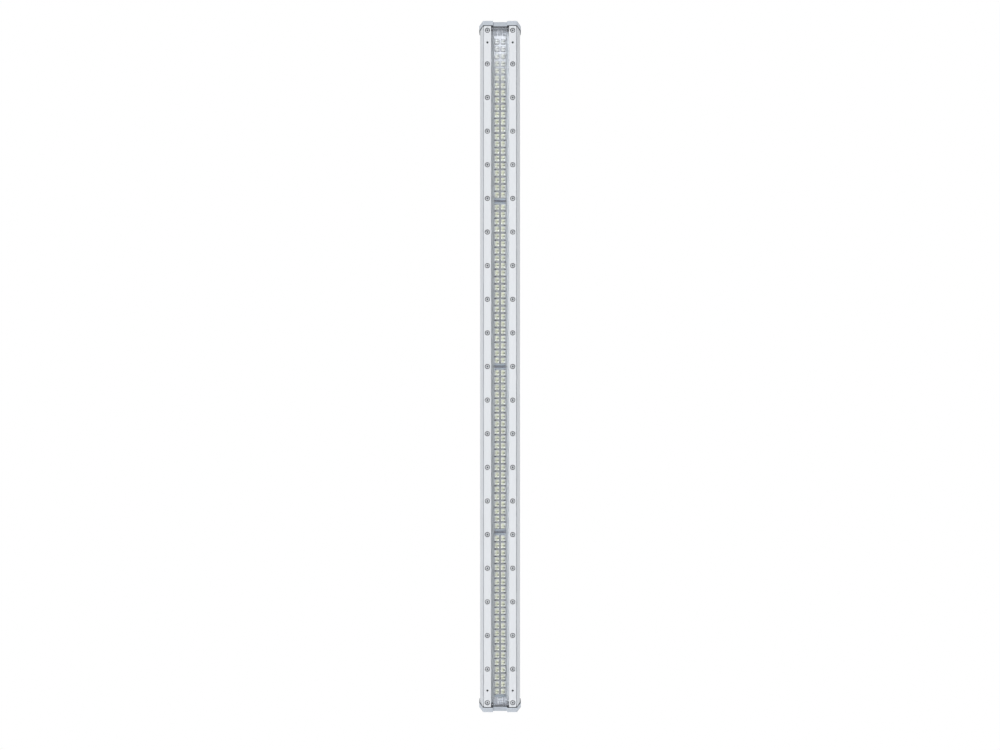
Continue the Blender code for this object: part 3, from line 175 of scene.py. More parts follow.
def rounded(corners, steps=4):
    """A closed outline in metres from corners of (x, y, radius) in millimetres.

    At a corner c with unit directions a and b to its neighbours, half the angle between them being h, the arc's
    centre is c + radius / sin h * (a + b) / |a + b|, and the arc turns from one tangent point to the other.
    """
    corner = np.array(corners, float) * MM
    here, radius = corner[:, :2], corner[:, 2:]
    before = np.roll(here, 1, axis=0) - here
    after = np.roll(here, -1, axis=0) - here
    before /= np.linalg.norm(before, axis=1, keepdims=True)
    after /= np.linalg.norm(after, axis=1, keepdims=True)
    half = np.arccos(np.clip((before * after).sum(axis=1, keepdims=True), -1, 1)) / 2
    inwards = (before + after) / np.linalg.norm(before + after, axis=1, keepdims=True)
    centre = here + inwards * radius / np.sin(half)
    start = here + before * radius / np.tan(half) - centre
    end = here + after * radius / np.tan(half) - centre
    sweep = np.arctan2(start[:, 0] * end[:, 1] - start[:, 1] * end[:, 0], (start * end).sum(axis=1))
    turn = sweep[:, None] * np.linspace(0, 1, steps + 1)
    x = start[:, :1] * np.cos(turn) - start[:, 1:] * np.sin(turn)
    y = start[:, :1] * np.sin(turn) + start[:, 1:] * np.cos(turn)
    outline = (centre[:, None] + np.stack([x, y], axis=-1)).reshape(-1, 2)
    step = np.linalg.norm(outline - np.roll(outline, 1, axis=0), axis=1)
    return outline[step > 1e-7]


def section(right_half, steps=4):
    """A cross-section from the (x, depth, radius) corners of its right half and their mirror images."""
    left_half = [(-x, depth, radius) for x, depth, radius in reversed(right_half)]
    return rounded(right_half + left_half, steps) + (0, front_y)


def new_piece(name, points, faces):
    """An object of its own mesh, shaded smooth apart from its sharp edges."""
    mesh = bpy.data.meshes.new(name)
    mesh.from_pydata(points, [], faces)
    mesh.shade_smooth()
    mesh.set_sharp_from_angle(angle=SHARP_ANGLE)
    piece = bpy.data.objects.new(name, mesh)
    bpy.context.scene.collection.objects.link(piece)
    return piece


def loft(name, rings, turn=UPWARDS, places=((0, 0, 0),), bored=False):
    """Rings of points joined level by level, with flat ends, or closed back on the first ring where bored.

    A point (a, b, h) of a ring becomes place + a * turn[0] + b * turn[1] + h * turn[2], at each place.
    """
    points = np.asarray(places, float)[:, None, None] + rings @ np.asarray(turn, float)
    number = np.arange(points.size // 3).reshape(points.shape[:3])
    low = number if bored else number[:, :-1]
    high = np.roll(number, -1, axis=1) if bored else number[:, 1:]
    walls = np.stack([low, np.roll(low, -1, axis=2), np.roll(high, -1, axis=2), high], axis=-1)
    faces = walls.reshape(-1, 4).tolist()
    if not bored:
        faces += number[:, 0, ::-1].tolist() + number[:, -1].tolist()
    return new_piece(name, points.reshape(-1, 3).tolist(), faces)


def extruded(name, outline, low, high, turn=UPWARDS, places=((0, 0, 0),)):
    """A straight bar: the outline at the low and the high level, always taken round the same way."""
    ahead = np.roll(outline, -1, axis=0)
    area = (outline[:, 0] * ahead[:, 1] - ahead[:, 0] * outline[:, 1]).sum()
    outline = outline if area > 0 else outline[::-1]
    level = np.full((len(outline), 1), 1.0)
    rings = np.stack([np.hstack([outline, level * low]), np.hstack([outline, level * high])])
    return loft(name, rings, turn, places)


def turned(name, rings, turn=UPWARDS, places=((0, 0, 0),), bored=False, sides=48):
    """A piece turned on a lathe and milled to hexagons where a ring says so.

    Each ring is (height, circle, hexagon) in millimetres. At the angle t its radius is the smaller of the circle
    and hexagon * cos 30 / cos(t mod 60 - 30), the hexagon's corner radius being given, or 0 for no hexagon.
    """
    height, circle, hexagon = np.array(rings, float).T[:, :, None] * MM
    angle = np.linspace(0, 2 * np.pi, sides, endpoint=False)
    flat = hexagon * math.cos(math.pi / 6) / np.cos(np.mod(angle, math.pi / 3) - math.pi / 6)
    radius = np.where(hexagon > 0, np.minimum(circle, flat), circle)
    shape = np.stack([radius * np.cos(angle), radius * np.sin(angle), height + 0 * radius], axis=-1)
    return loft(name, shape, turn, places, bored)


def combined(piece, operation, *others):
    """Joins other pieces to this one, or cuts them out of it, for good."""
    for other in others:
        step = piece.modifiers.new(operation, "BOOLEAN")
        step.operation = operation
        step.solver = "EXACT"
        step.object = other
    graph = bpy.context.evaluated_depsgraph_get()
    mesh = bpy.data.meshes.new_from_object(piece.evaluated_get(graph))
    mesh.name = piece.name
    piece.modifiers.clear()
    piece.data = mesh
    mesh.shade_smooth()
    mesh.set_sharp_from_angle(angle=SHARP_ANGLE)
    for other in others:
        bpy.data.objects.remove(other)


def shade(red, green, blue):
    """A colour for a shader from the 0 to 255 levels it shows on a screen."""
    level = (np.array([red, green, blue]) / 255 + 0.055) / 1.055
    return (*(level**2.4).tolist(), 1)


def mixed(tree, share, first, second):
    """The colour a share of the way from the first to the second, from a Mix node."""
    return node(tree, "ShaderNodeMix", {0: share, 6: first, 7: second}, data_type="RGBA").outputs[2]


def new_group(name, inputs, outputs):
    """A shader node group with named inputs and their values, and named outputs, with the sockets to wire."""
    group = bpy.data.node_groups.new(name, "ShaderNodeTree")
    for label, kind, value in inputs:
        socket = group.interface.new_socket(label, in_out="INPUT", socket_type=kind)
        socket.default_value = value
    for label, kind in outputs:
        group.interface.new_socket(label, in_out="OUTPUT", socket_type=kind)
    return group, group.nodes.new("NodeGroupInput").outputs, group.nodes.new("NodeGroupOutput").inputs


# The grain group: broad patches move the colour between two tones, and a finer grain, which can be drawn out
# along one direction, moves the roughness and gives the height of the coat or the drawn metal.
grain_group, given, result = new_group(
    "surface_grain",
    [
        ("First Colour", "NodeSocketColor", (0.8, 0.8, 0.8, 1)),
        ("Second Colour", "NodeSocketColor", (0.8, 0.8, 0.8, 1)),
        ("Patches per Metre", "NodeSocketFloat", 20.0),
        ("Grains per Metre", "NodeSocketFloat", 1500.0),
        ("Stretch", "NodeSocketVector", (1, 1, 1)),
        ("Least Roughness", "NodeSocketFloat", 0.4),
        ("Most Roughness", "NodeSocketFloat", 0.5),
    ],
    [("Colour", "NodeSocketColor"), ("Roughness", "NodeSocketFloat"), ("Height", "NodeSocketFloat")],
)
where = node(grain_group, "ShaderNodeTexCoord").outputs["Object"]
drawn = node(grain_group, "ShaderNodeVectorMath", {0: where, 1: given["Stretch"]}, operation="MULTIPLY")
patches = node(
    grain_group,
    "ShaderNodeTexNoise",
    {"Vector": drawn.outputs[0], "Scale": given["Patches per Metre"], "Detail": 3.0},
)
grains = node(
    grain_group,
    "ShaderNodeTexNoise",
    {"Vector": drawn.outputs[0], "Scale": given["Grains per Metre"], "Detail": 2.0},
)
patch = node(grain_group, "ShaderNodeMapRange", {"Value": patches.outputs["Fac"], "From Min": 0.35, "From Max": 0.65})
fleck = node(grain_group, "ShaderNodeMapRange", {"Value": grains.outputs["Fac"], "From Min": 0.3, "From Max": 0.7})
both = arithmetic(grain_group, "ADD", patch.outputs[0], fleck.outputs[0])
share = arithmetic(grain_group, "MULTIPLY", both, 0.5)
tone = mixed(grain_group, share, given["First Colour"], given["Second Colour"])
rough = node(
    grain_group,
    "ShaderNodeMapRange",
    {"Value": share, "To Min": given["Least Roughness"], "To Max": given["Most Roughness"]},
)
feed(grain_group, result["Colour"], tone)
feed(grain_group, result["Roughness"], rough.outputs[0])
feed(grain_group, result["Height"], grains.outputs["Fac"])


def finish(name, first, second, patches, grains, roughness, height, stretch=(1, 1, 1), **shader_values):
    """A material whose colour, roughness and bump come from the grain group, with plain values for the rest.

    The height is that of a grain in millimetres.
    """
    material = bpy.data.materials.new(name)
    material.use_nodes = True
    tree = material.node_tree
    shader = tree.nodes["Principled BSDF"]
    grain = tree.nodes.new("ShaderNodeGroup")
    grain.node_tree = grain_group
    for label, value in (
        ("First Colour", first),
        ("Second Colour", second),
        ("Patches per Metre", patches),
        ("Grains per Metre", grains),
        ("Stretch", stretch),
        ("Least Roughness", roughness[0]),
        ("Most Roughness", roughness[1]),
    ):
        grain.inputs[label].default_value = value
    bump = node(tree, "ShaderNodeBump", {"Height": grain.outputs["Height"], "Distance": height * MM, "Strength": 1.0})
    feed(tree, shader.inputs["Base Color"], grain.outputs["Colour"])
    feed(tree, shader.inputs["Roughness"], grain.outputs["Roughness"])
    feed(tree, shader.inputs["Normal"], bump.outputs["Normal"])
    for label, value in shader_values.items():
        shader.inputs[label.replace("_", " ")].default_value = value
    return material


def dress(piece, material, slot, *stands_for, body="lamp"):
    """Gives a new piece its material, the nodes it stands for and the body it rides on. The record slot is not used."""
    piece.data.materials.clear()
    piece.data.materials.append(material)
    if stands_for:
        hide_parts(*stands_for)
    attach(piece, body)


FLANK_X, BACK_DEPTH = 35.25, 55.5
GROOVE_DEPTH, GROOVE_WIDTH = 1.5, 1.8
PORT_RADIUS = 2.1
CAP_SCREWS = (1, 2, 3, 4)
grooves = []
for start in (34.0, 37.6, 41.2, 44.8, 48.4):
    root, end = FLANK_X - GROOVE_DEPTH, start + GROOVE_WIDTH
    grooves += [(FLANK_X, start, 0.4), (root, start, 0.6), (root, end, 0.6), (FLANK_X, end, 0.4)]
housing_outline = section(
    [
        (15.51, 28.5, 0.6), (15.51, 12.7, 0.2),
        (18.21, 12.7, 0.2), (18.21, 5.8, 0.2), (19.68, 5.8, 0.2),
        (19.68, 14.5, 0.2), (18.28, 14.5, 0.3),
        (18.28, 18.1, 0.4), (25.68, 18.1, 0.4),
        (25.68, 14.5, 0.3), (24.28, 14.5, 0.2),
        (24.28, 5.8, 0.2), (29.1, 5.8, 0.3), (29.1, 4.0, 0.25),
        (29.8, 4.0, 0.35), (FLANK_X, 30.0, 16.0),
        *grooves,
        (FLANK_X, BACK_DEPTH, 3.0),
    ]
)
body_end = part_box("housing")[1].z
rail_end = 500 * MM
rail_outline = section([(7, 54, 0.1), (7, 58.5, 0.4), (11, 58.5, 0.35), (11, 61.5, 0.4)])
bay_corners = [(18.51, 32), (18.51, 21), (24.51, 21), (24.51, 27.5)]
chamber_corners = [(31.5, 27.5), (31.5, 45.5), (24, 45.5), (24, 52.5)]
chamber_outline = section([(x, depth, 0.5) for x, depth in bay_corners + chamber_corners])
past_ends = 700
back_y = front_y + BACK_DEPTH * MM
gland_z, vent_z = -560 * MM, 560 * MM


def middle_of(name):
    """The centre of a CAD node's box."""
    low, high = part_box(name)
    return (low + high) / 2


cap_screw_places = [middle_of(f"cap_screw_top_{number}").xy for number in CAP_SCREWS]
housing = extruded("housing_body", housing_outline, -body_end, body_end)
combined(housing, "UNION", extruded("rail", rail_outline, -rail_end, rail_end))
ports = [(-past_ends, PORT_RADIUS, 0), (past_ends, PORT_RADIUS, 0)]
combined(
    housing,
    "DIFFERENCE",
    extruded("chamber", chamber_outline, -past_ends * MM, past_ends * MM),
    turned("ports", ports, places=[(x, y, 0) for x, y in cap_screw_places], sides=24),
    turned("gland_hole", [(-8, 8.1, 0), (3, 8.1, 0)], TO_WALL, [(0, back_y, gland_z)]),
    turned("vent_hole", [(-8, 6.2, 0), (3, 6.2, 0)], TO_WALL, [(0, back_y, vent_z)]),
)
silver_coat = finish(
    "silver_powder_coat", shade(203, 207, 212), shade(211, 215, 219),
    patches=9.0, grains=900.0, roughness=(0.42, 0.5), height=0.02, stretch=(1, 1, 0.35), Specular_IOR_Level=0.08,
)
dress(housing, silver_coat, "housing_paint", "housing")


# End caps. Two die-cast aluminium lids with a wide notch in the front edge, a pocket behind it where the leads
# turn round the end wall, and a tongue that reaches into the trough. Four screws hold each one, in counterbores.
def eased(piece, width):
    """Rounds the sharp edges of a piece by a width in millimetres."""
    piece.data.set_sharp_from_angle(angle=math.pi)
    bevel = piece.modifiers.new("eased_edges", "BEVEL")
    bevel.width = width * MM
    bevel.segments = 2
    bevel.limit_method = "ANGLE"
    bevel.angle_limit = SHARP_ANGLE
    bevel.harden_normals = True


DOWNWARDS = ((-1, 0, 0), (0, 1, 0), (0, 0, -1))
ENDS = (("top", UPWARDS, 1), ("bottom", DOWNWARDS, -1))
CAP_HEIGHT, POCKET_DEPTH, TONGUE_REACH = 7.5, 5, 3
cap_inner = 592.5 * MM
cap_outline = section(
    [(12.21, 6.8, 0.5), (12.21, 0, 1.0), (29.4, 0, 1.2), (36.75, 30, 16), (36.75, 57, 4.5)], steps=8
)
counterbore_rings = [(-1, PORT_RADIUS, 0), (4.1, PORT_RADIUS, 0), (4.1, 3.9, 0), (9, 3.9, 0)]
pocket_outline = section([(13.01, 17, 1.0), (13.01, 49, 1.0)])
tongue_outline = section([(15.21, 12.7, 0.3), (15.21, 15.2, 0.3)])
cast_coat = finish(
    "cast_silver_coat", shade(184, 191, 200), shade(193, 199, 207),
    patches=30.0, grains=1400.0, roughness=(0.4, 0.5), height=0.03, Specular_IOR_Level=0.12,
)
for end, turn, sign in ENDS:
    seat = [(0, 0, sign * cap_inner)]
    holes = [(x, y, sign * cap_inner) for x, y in cap_screw_places]
    cap = extruded(f"cast_cap_{end}", cap_outline, 0, CAP_HEIGHT * MM, turn, seat)
    combined(cap, "UNION", extruded("tongue", tongue_outline, -TONGUE_REACH * MM, MM, turn, seat))
    combined(
        cap,
        "DIFFERENCE",
        extruded("pocket", pocket_outline, -MM, POCKET_DEPTH * MM, turn, seat),
        turned("counterbore", counterbore_rings, turn, holes),
    )
    eased(cap, 0.35)
    dress(cap, cast_coat, "cap_paint", f"end_cap_{end}")


# End gaskets. A thin black rubber sheet under each cap, cut to the outline of the extrusion. The cap's screws squeeze
# its edge out into the joint, where it shows as a dark line.
black_rubber = finish(
    "black_rubber", shade(34, 36, 40), shade(48, 50, 54),
    patches=60.0, grains=2500.0, roughness=(0.6, 0.75), height=0.02,
)
gasket_outline = section(
    [(12.21, 7.1, 0.2), (12.21, 0.5, 0.3), (29.0, 0.5, 0.8), (36.35, 30, 16), (36.35, 56.6, 4.1)], steps=8
)
tongue_slot = section([(15.51, 12.4, 0.3), (15.51, 15.5, 0.3)])
gasket_low, gasket_high = 0.05 * MM, 1.15 * MM
cut_low, cut_high = -MM, 3 * MM
for end, turn, sign in ENDS:
    seat = [(0, 0, sign * body_end)]
    holes = [(x, y, sign * body_end) for x, y in cap_screw_places]
    gasket = extruded(f"squeezed_gasket_{end}", gasket_outline, gasket_low, gasket_high, turn, seat)
    combined(
        gasket,
        "DIFFERENCE",
        extruded("pocket", pocket_outline, cut_low, cut_high, turn, seat),
        extruded("tongue_slot", tongue_slot, cut_low, cut_high, turn, seat),
        turned("ports", [(-1, PORT_RADIUS, 0), (3, PORT_RADIUS, 0)], turn, holes, sides=24),
    )
    eased(gasket, 0.25)
    dress(gasket, black_rubber, "rubber", f"end_gasket_{end}")


# Lead guides. A grey nylon ramp at each end of the trough, which rises from the floor into the mouth of the cap's
# pocket and is glued down. The leads run over it.
guide_nylon = finish(
    "guide_nylon", shade(196, 200, 208), shade(206, 210, 218),
    patches=70.0, grains=1800.0, roughness=(0.5, 0.62), height=0.01,
)
guide_outline = np.array([(28.2, 583.2), (28.2, 592.3), (24.9, 592.3), (24.9, 591.6), (27.7, 583.2)]) * MM
guide_half = 12.6 * MM
for end, _, sign in ENDS:
    sideways = ((0, 1, 0), (0, 0, sign), (sign, 0, 0))
    ramp = extruded(f"lead_guide_{end}", guide_outline, -guide_half, guide_half, sideways, [(0, front_y, 0)])
    eased(ramp, 0.15)
    dress(ramp, guide_nylon, "nylon")


# Cap screws. Stainless steel M3.5 screws with a hexagon socket, four through each cap into the ports of the
# extrusion, with their heads sunk half a millimetre.
screw_steel = finish(
    "screw_steel", shade(160, 163, 168), shade(188, 191, 195),
    patches=120.0, grains=4000.0, roughness=(0.25, 0.38), height=0.004, Metallic=1.0,
)
cap_screw_seat = cap_inner + 4.4 * MM
cap_screw_rings = [
    (-16, 1.4, 0), (-15.5, 1.8, 0), (0, 1.8, 0),
    (0, 3.35, 0), (0.15, 3.5, 0), (2.3, 3.5, 0), (2.6, 3.2, 0),
    (2.6, 1.95, 0), (2.4, 9, 1.7), (1.1, 9, 1.7),
]
for end, turn, sign in ENDS:
    for number in CAP_SCREWS:
        name = f"cap_screw_{end}_{number}"
        axis = middle_of(name)
        screw = turned(f"socket_{name}", cap_screw_rings, turn, [(axis.x, axis.y, sign * cap_screw_seat)])
        dress(screw, screw_steel, "steel", name)


# Clamp strips. Two flat aluminium bars that press the glass down through its seals, with satin light paint,
# 21 counterbored screw holes and a drain hole near each end. The outer corners are trimmed.
TO_ROOM = ((1, 0, 0), (0, 0, 1), (0, -1, 0))
SIDES = (("left", -1), ("right", 1))
STRIP_THICKNESS = 5
strip_in, strip_out = 15.76, 28.2
strip_middle = (strip_in + strip_out) / 2
strip_back = front_y + 5.5 * MM
last_screw, screw_count = 584.0, 21
screw_heights = np.linspace(-last_screw, last_screw, screw_count) * MM
drain_heights = np.array([-563.0, 563.0]) * MM
end_mm = body_end / MM
light_paint = finish(
    "light_satin_paint", shade(218, 221, 225), shade(223, 226, 230),
    patches=7.0, grains=700.0, roughness=(0.36, 0.44), height=0.006, stretch=(1, 1, 0.12), Specular_IOR_Level=0.15,
)
for side, sign in SIDES:
    near, far = sign * strip_in, sign * strip_out
    outline = rounded([(near, -end_mm, 0.3), (far, -end_mm, 1.2), (far, end_mm, 1.2), (near, end_mm, 0.3)])
    strip = extruded(f"strip_{side}", outline, 0, STRIP_THICKNESS * MM, TO_ROOM, [(0, strip_back, 0)])
    holes = [(sign * strip_middle * MM, strip_back, z) for z in screw_heights]
    drains = [(sign * strip_middle * MM, strip_back, z) for z in drain_heights]
    combined(
        strip,
        "DIFFERENCE",
        turned("counterbores", [(-1, 2.3, 0), (2.3, 2.3, 0), (2.3, 4.4, 0), (6, 4.4, 0)], TO_ROOM, holes),
        turned("drains", [(-1, 1.9, 0), (6, 1.9, 0)], TO_ROOM, drains, sides=24),
    )
    eased(strip, 0.25)
    dress(strip, light_paint, "strip_paint", f"clamp_strip_{side}")


# Strip screws. M4 button heads with hexagon sockets on thin rubber seals, driven through the strip into a nut bar
# that slides in the housing's channel. The heads end just under the strip's face.
# The nut bar's dark steel also stands in for the shade seen through the strips' drain holes.
dark_steel = finish(
    "dark_steel", shade(70, 72, 76), shade(86, 88, 92),
    patches=60.0, grains=1500.0, roughness=(0.4, 0.55), height=0.01, stretch=(1, 1, 0.05), Metallic=0.7,
)
head_seat = front_y + 2.9 * MM
head_steel = finish(
    "head_steel", shade(196, 199, 203), shade(218, 220, 223),
    patches=120.0, grains=4000.0, roughness=(0.25, 0.38), height=0.004, Metallic=1.0,
)


def colour_of(material):
    """A finished material's node tree, its Base Color socket, the colour that feeds it and the Object coordinates."""
    tree = material.node_tree
    base = tree.nodes["Principled BSDF"].inputs["Base Color"]
    place = node(tree, "ShaderNodeSeparateXYZ", {0: node(tree, "ShaderNodeTexCoord").outputs["Object"]}).outputs
    return tree, base, base.links[0].from_socket, place


# Painted shade in the hexagon socket and at the foot of the head: from 1.5 mm above its seat the steel is painted
# darker downwards, and it is darkest from 0.8 mm.
SHADE_FROM, DARKEST_SHADE_FROM = 1.5 * MM, 0.8 * MM
tree, base, polished, place = colour_of(head_steel)
low = node(
    tree,
    "ShaderNodeMapRange",
    {"Value": place["Y"], "From Min": head_seat - SHADE_FROM, "From Max": head_seat - DARKEST_SHADE_FROM},
)
feed(tree, base, mixed(tree, low.outputs[0], polished, shade(92, 95, 100)))


def oblong(half_width, half_height, radius, steps=4):
    """The outline of a rectangle about the middle, with rounded corners, from sizes in millimetres."""
    signs = ((-1, -1), (1, -1), (1, 1), (-1, 1))
    return rounded([(x * half_width, y * half_height, radius) for x, y in signs], steps)


dome = [(0.5 + 1.7 * math.sin(t), 2.2 + 1.4 * math.cos(t), 0) for t in np.linspace(0, math.pi / 2, 6)]
strip_screw_rings = [
    (-14, 1.7, 0), (-13.6, 2.0, 0), (0, 2.0, 0),
    (0, 3.5, 0), (0.1, 3.6, 0), *dome,
    (2.2, 1.82, 0), (2.05, 9, 1.65), (0.7, 9, 1.65),
]
screw_seal_rings = [(-0.28, 4.25, 0), (-0.03, 4.25, 0), (-0.03, 2.15, 0), (-0.28, 2.15, 0)]
bar_outline = oblong(3.4, 587.3, 0.3)
bar_thickness, bar_back = 3 * MM, front_y + 17.8 * MM
for side, sign in SIDES:
    across = sign * strip_middle * MM
    seats = [(across, head_seat, z) for z in screw_heights]
    heads = turned(f"button_screws_{side}", strip_screw_rings, TO_ROOM, seats)
    dress(heads, head_steel, "steel", f"strip_screws_{side}")
    # The black seals fill the visible ring between each head and its counterbore, and stand in for the shade of that
    # gap.
    seals = turned(f"screw_seals_{side}", screw_seal_rings, TO_ROOM, seats, bored=True, sides=32)
    dress(seals, black_rubber, "rubber", f"strip_screws_{side}")
    nut_bar = extruded(f"nut_bar_{side}", bar_outline, 0, bar_thickness, TO_ROOM, [(across, bar_back, 0)])
    dress(nut_bar, dark_steel, "steel", f"strip_screws_{side}")


# Cover glass. A 4 mm sheet of clear toughened glass between a rubber gasket on the ledge and a seal under
# each strip.
def paint_nodes(material, *names):
    """Puts a material on CAD nodes that are shown as they are."""
    for name in names:
        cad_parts[name].material_slots[0].material = material


clear_glass = bpy.data.materials.new("clear_glass")
clear_glass.use_nodes = True
tree = clear_glass.node_tree
shader = tree.nodes["Principled BSDF"]
smears = node(
    tree,
    "ShaderNodeTexNoise",
    {"Vector": node(tree, "ShaderNodeTexCoord").outputs["Object"], "Scale": 25.0, "Detail": 3.0},
)
smeared = node(tree, "ShaderNodeMapRange", {"Value": smears.outputs["Fac"], "To Max": 0.06})
glass_tint = shade(250, 251, 252)
shader.inputs["Base Color"].default_value = glass_tint
shader.inputs["Transmission Weight"].default_value = 1.0
shader.inputs["IOR"].default_value = 1.45
feed(tree, shader.inputs["Roughness"], smeared.outputs[0])
clear = node(tree, "ShaderNodeBsdfTransparent", {"Color": glass_tint})
shadow_ray = node(tree, "ShaderNodeLightPath").outputs["Is Shadow Ray"]
passed = node(tree, "ShaderNodeMixShader", {0: shadow_ray, 1: shader.outputs[0], 2: clear.outputs[0]})
feed(tree, tree.nodes["Material Output"].inputs["Surface"], passed.outputs[0])
paint_nodes(clear_glass, "cover_glass")
grey_silicone = finish(
    "grey_silicone", shade(118, 121, 128), shade(130, 133, 140),
    patches=60.0, grains=1800.0, roughness=(0.5, 0.65), height=0.01,
)
paint_nodes(grey_silicone, "glass_gasket", "glass_seal_left", "glass_seal_right")


# LED boards. Four aluminium-core boards end to end on the trough's floor, with white solder mask and two columns
# of LEDs whose yellow phosphor stands a millimetre proud.
BOARDS = (1, 2, 3, 4)
LED_RISE = 1.0 * MM
board_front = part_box("led_board_1")[0].y + LED_RISE
white_board = finish(
    "white_board", shade(214, 218, 216), shade(205, 210, 210),
    patches=40.0, grains=1800.0, roughness=(0.45, 0.6), height=0.01,
)
# What stands clear of a board's front is phosphor.
CLEAR_OF_BOARD = 0.2 * MM
tree, base, mask, place = colour_of(white_board)
proud = arithmetic(tree, "LESS_THAN", place["Y"], board_front - CLEAR_OF_BOARD)
feed(tree, base, mixed(tree, proud, mask, shade(214, 206, 110)))
paint_nodes(white_board, *(f"led_board_{number}" for number in BOARDS))


# Lens arrays. One moulded acrylic plate over each board, with a two-lobed lens over every LED, and pins that stand on
# the board. The LED's yellow-green core seen through each lens is painted on, and so are shade and highlights on lenses
# and plates.
LENS_HALF_X, LENS_HALF_Z, LENS_RISE = 4.55 * MM, 5.15 * MM, 4.5 * MM
COLUMN_X, ROW_PITCH, ROWS = 5.3 * MM, 12.8 * MM, 22
LENS_SHARP_ANGLE = math.radians(60)
PLATE_HALF_X, PLATE_HALF_Z, PLATE_THICKNESS = 10.51, 144.5, 1.8 * MM
PIN_X, PIN_Z, PIN_LENGTH = 9.01, 141.5, 1.7
plate_mid = {number: middle_of(f"lens_array_{number}").z for number in BOARDS}
plate_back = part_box("lens_array_1")[1].y - PIN_LENGTH * MM
plate_face = plate_back - PLATE_THICKNESS
LENS_SUNK = 0.05 * MM


def lens_grid():
    """One lens as a grid: half sizes times (u * sqrt(1 - v^2 / 6), v * sqrt(1 - u^2 / 6)), where u and v run from
    -1 to 1, raised by rise * (1 - max(|u|, |v|)^6) * (0.84 - 0.16 * cos(2 pi v)), which gives two lobes."""
    u, v = np.meshgrid([-1, -0.9, -0.6, 0, 0.6, 0.9, 1], [-1, -0.92, -0.72, -0.45, 0, 0.45, 0.72, 0.92, 1])
    x = LENS_HALF_X * u * np.sqrt(1 - v**2 / 6)
    z = LENS_HALF_Z * v * np.sqrt(1 - u**2 / 6)
    reach = np.maximum(abs(u), abs(v))
    rise = LENS_RISE * (1 - reach**6) * (0.84 - 0.16 * np.cos(2 * np.pi * v))
    return np.stack([x, rise, z], axis=-1), np.stack([u, v], axis=-1) / 2 + 0.5


lens_shape, lens_uv = lens_grid()
rows, columns = lens_shape.shape[:2]
corner = np.arange(rows * columns).reshape(rows, columns)
lens_quads = np.stack([corner[:-1, :-1], corner[:-1, 1:], corner[1:, 1:], corner[1:, :-1]], axis=-1).reshape(-1, 4)
rim = np.concatenate([corner[0, :-1], corner[:-1, -1], corner[-1, :0:-1], corner[:0:-1, 0]])[::-1]

# The spot group: a soft-edged oval mask about a centre, measured in its half sizes.
spot_group, given, result = new_group(
    "soft_spot",
    [
        ("Place", "NodeSocketVector", (0, 0, 0)),
        ("Centre", "NodeSocketVector", (0.5, 0.5, 0)),
        ("Half Size", "NodeSocketVector", (0.2, 0.2, 1)),
        ("Softness", "NodeSocketFloat", 0.3),
    ],
    [("Mask", "NodeSocketFloat")],
)
off = node(spot_group, "ShaderNodeVectorMath", {0: given["Place"], 1: given["Centre"]}, operation="SUBTRACT")
scaled = node(spot_group, "ShaderNodeVectorMath", {0: off.outputs[0], 1: given["Half Size"]}, operation="DIVIDE")
reach = node(spot_group, "ShaderNodeVectorMath", {0: scaled.outputs[0]}, operation="LENGTH")
inner = arithmetic(spot_group, "SUBTRACT", 1.0, given["Softness"])
outer = arithmetic(spot_group, "ADD", 1.0, given["Softness"])
faded = node(
    spot_group,
    "ShaderNodeMapRange",
    {"Value": reach.outputs["Value"], "From Min": inner, "From Max": outer, "To Min": 1.0, "To Max": 0.0},
    interpolation_type="SMOOTHSTEP",
)
feed(spot_group, result["Mask"], faded.outputs[0])

plate_acrylic = finish(
    "plate_acrylic", shade(172, 178, 186), shade(182, 188, 196),
    patches=30.0, grains=600.0, roughness=(0.15, 0.22), height=0.005,
)
lens_acrylic = finish(
    "lens_acrylic", shade(200, 200, 203), shade(213, 213, 216),
    patches=90.0, grains=500.0, roughness=(0.08, 0.16), height=0.005,
)
ASLANT_FROM, ASLANT_TO = 0.47, 0.56


def painted_light_spots(material, within, spots, at_top, below=1.0, both_ends=False):
    """Lays soft oval spots of painted shade, painted highlights and other painted colour over a material: each is
    (centre, half size, softness, colour). Their strength changes from one share to another near the lamp's top end, or
    near both ends, where light falls aslant, so that change is painted light too."""
    tree, base, colour, place = colour_of(material)
    far_up = "ABSOLUTE" if both_ends else "MAXIMUM"
    height = arithmetic(tree, far_up, place["Z"], 0.0)
    seen = node(
        tree,
        "ShaderNodeMapRange",
        {"Value": height, "From Min": ASLANT_FROM, "From Max": ASLANT_TO, "To Min": below, "To Max": at_top},
    )
    for centre, size, softness, spot_colour in spots:
        spot = tree.nodes.new("ShaderNodeGroup")
        spot.node_tree = spot_group
        feed(tree, spot.inputs["Place"], within)
        spot.inputs["Centre"].default_value = (*centre, 0)
        spot.inputs["Half Size"].default_value = (*size, 1)
        spot.inputs["Softness"].default_value = softness
        share = arithmetic(tree, "MULTIPLY", spot.outputs[0], seen.outputs[0])
        colour = mixed(tree, share, colour, spot_colour)
    feed(tree, base, colour)


lens_place = node(lens_acrylic.node_tree, "ShaderNodeUVMap", uv_map="lens_place").outputs[0]
# Painted light near the top end, where light falls aslant: a dark outline of shade round each lens and a light centre.
painted_light_spots(
    lens_acrylic,
    lens_place,
    [((0.5, 0.5), (0.9, 0.9), 0.1, shade(138, 140, 148)), ((0.5, 0.5), (0.40, 0.42), 0.25, shade(238, 240, 245))],
    at_top=0.7,
    below=0.0,
)
# The LED's core as seen through the lens is painted on, with two painted highlights low on the lens; near the top end
# they fade.
painted_light_spots(
    lens_acrylic,
    lens_place,
    [
        ((0.5, 0.5), (0.34, 0.44), 0.5, shade(203, 205, 178)),
        ((0.76, 0.18), (0.15, 0.12), 0.5, shade(250, 251, 246)),
        ((0.22, 0.18), (0.12, 0.10), 0.5, shade(244, 246, 238)),
    ],
    at_top=0.15,
)
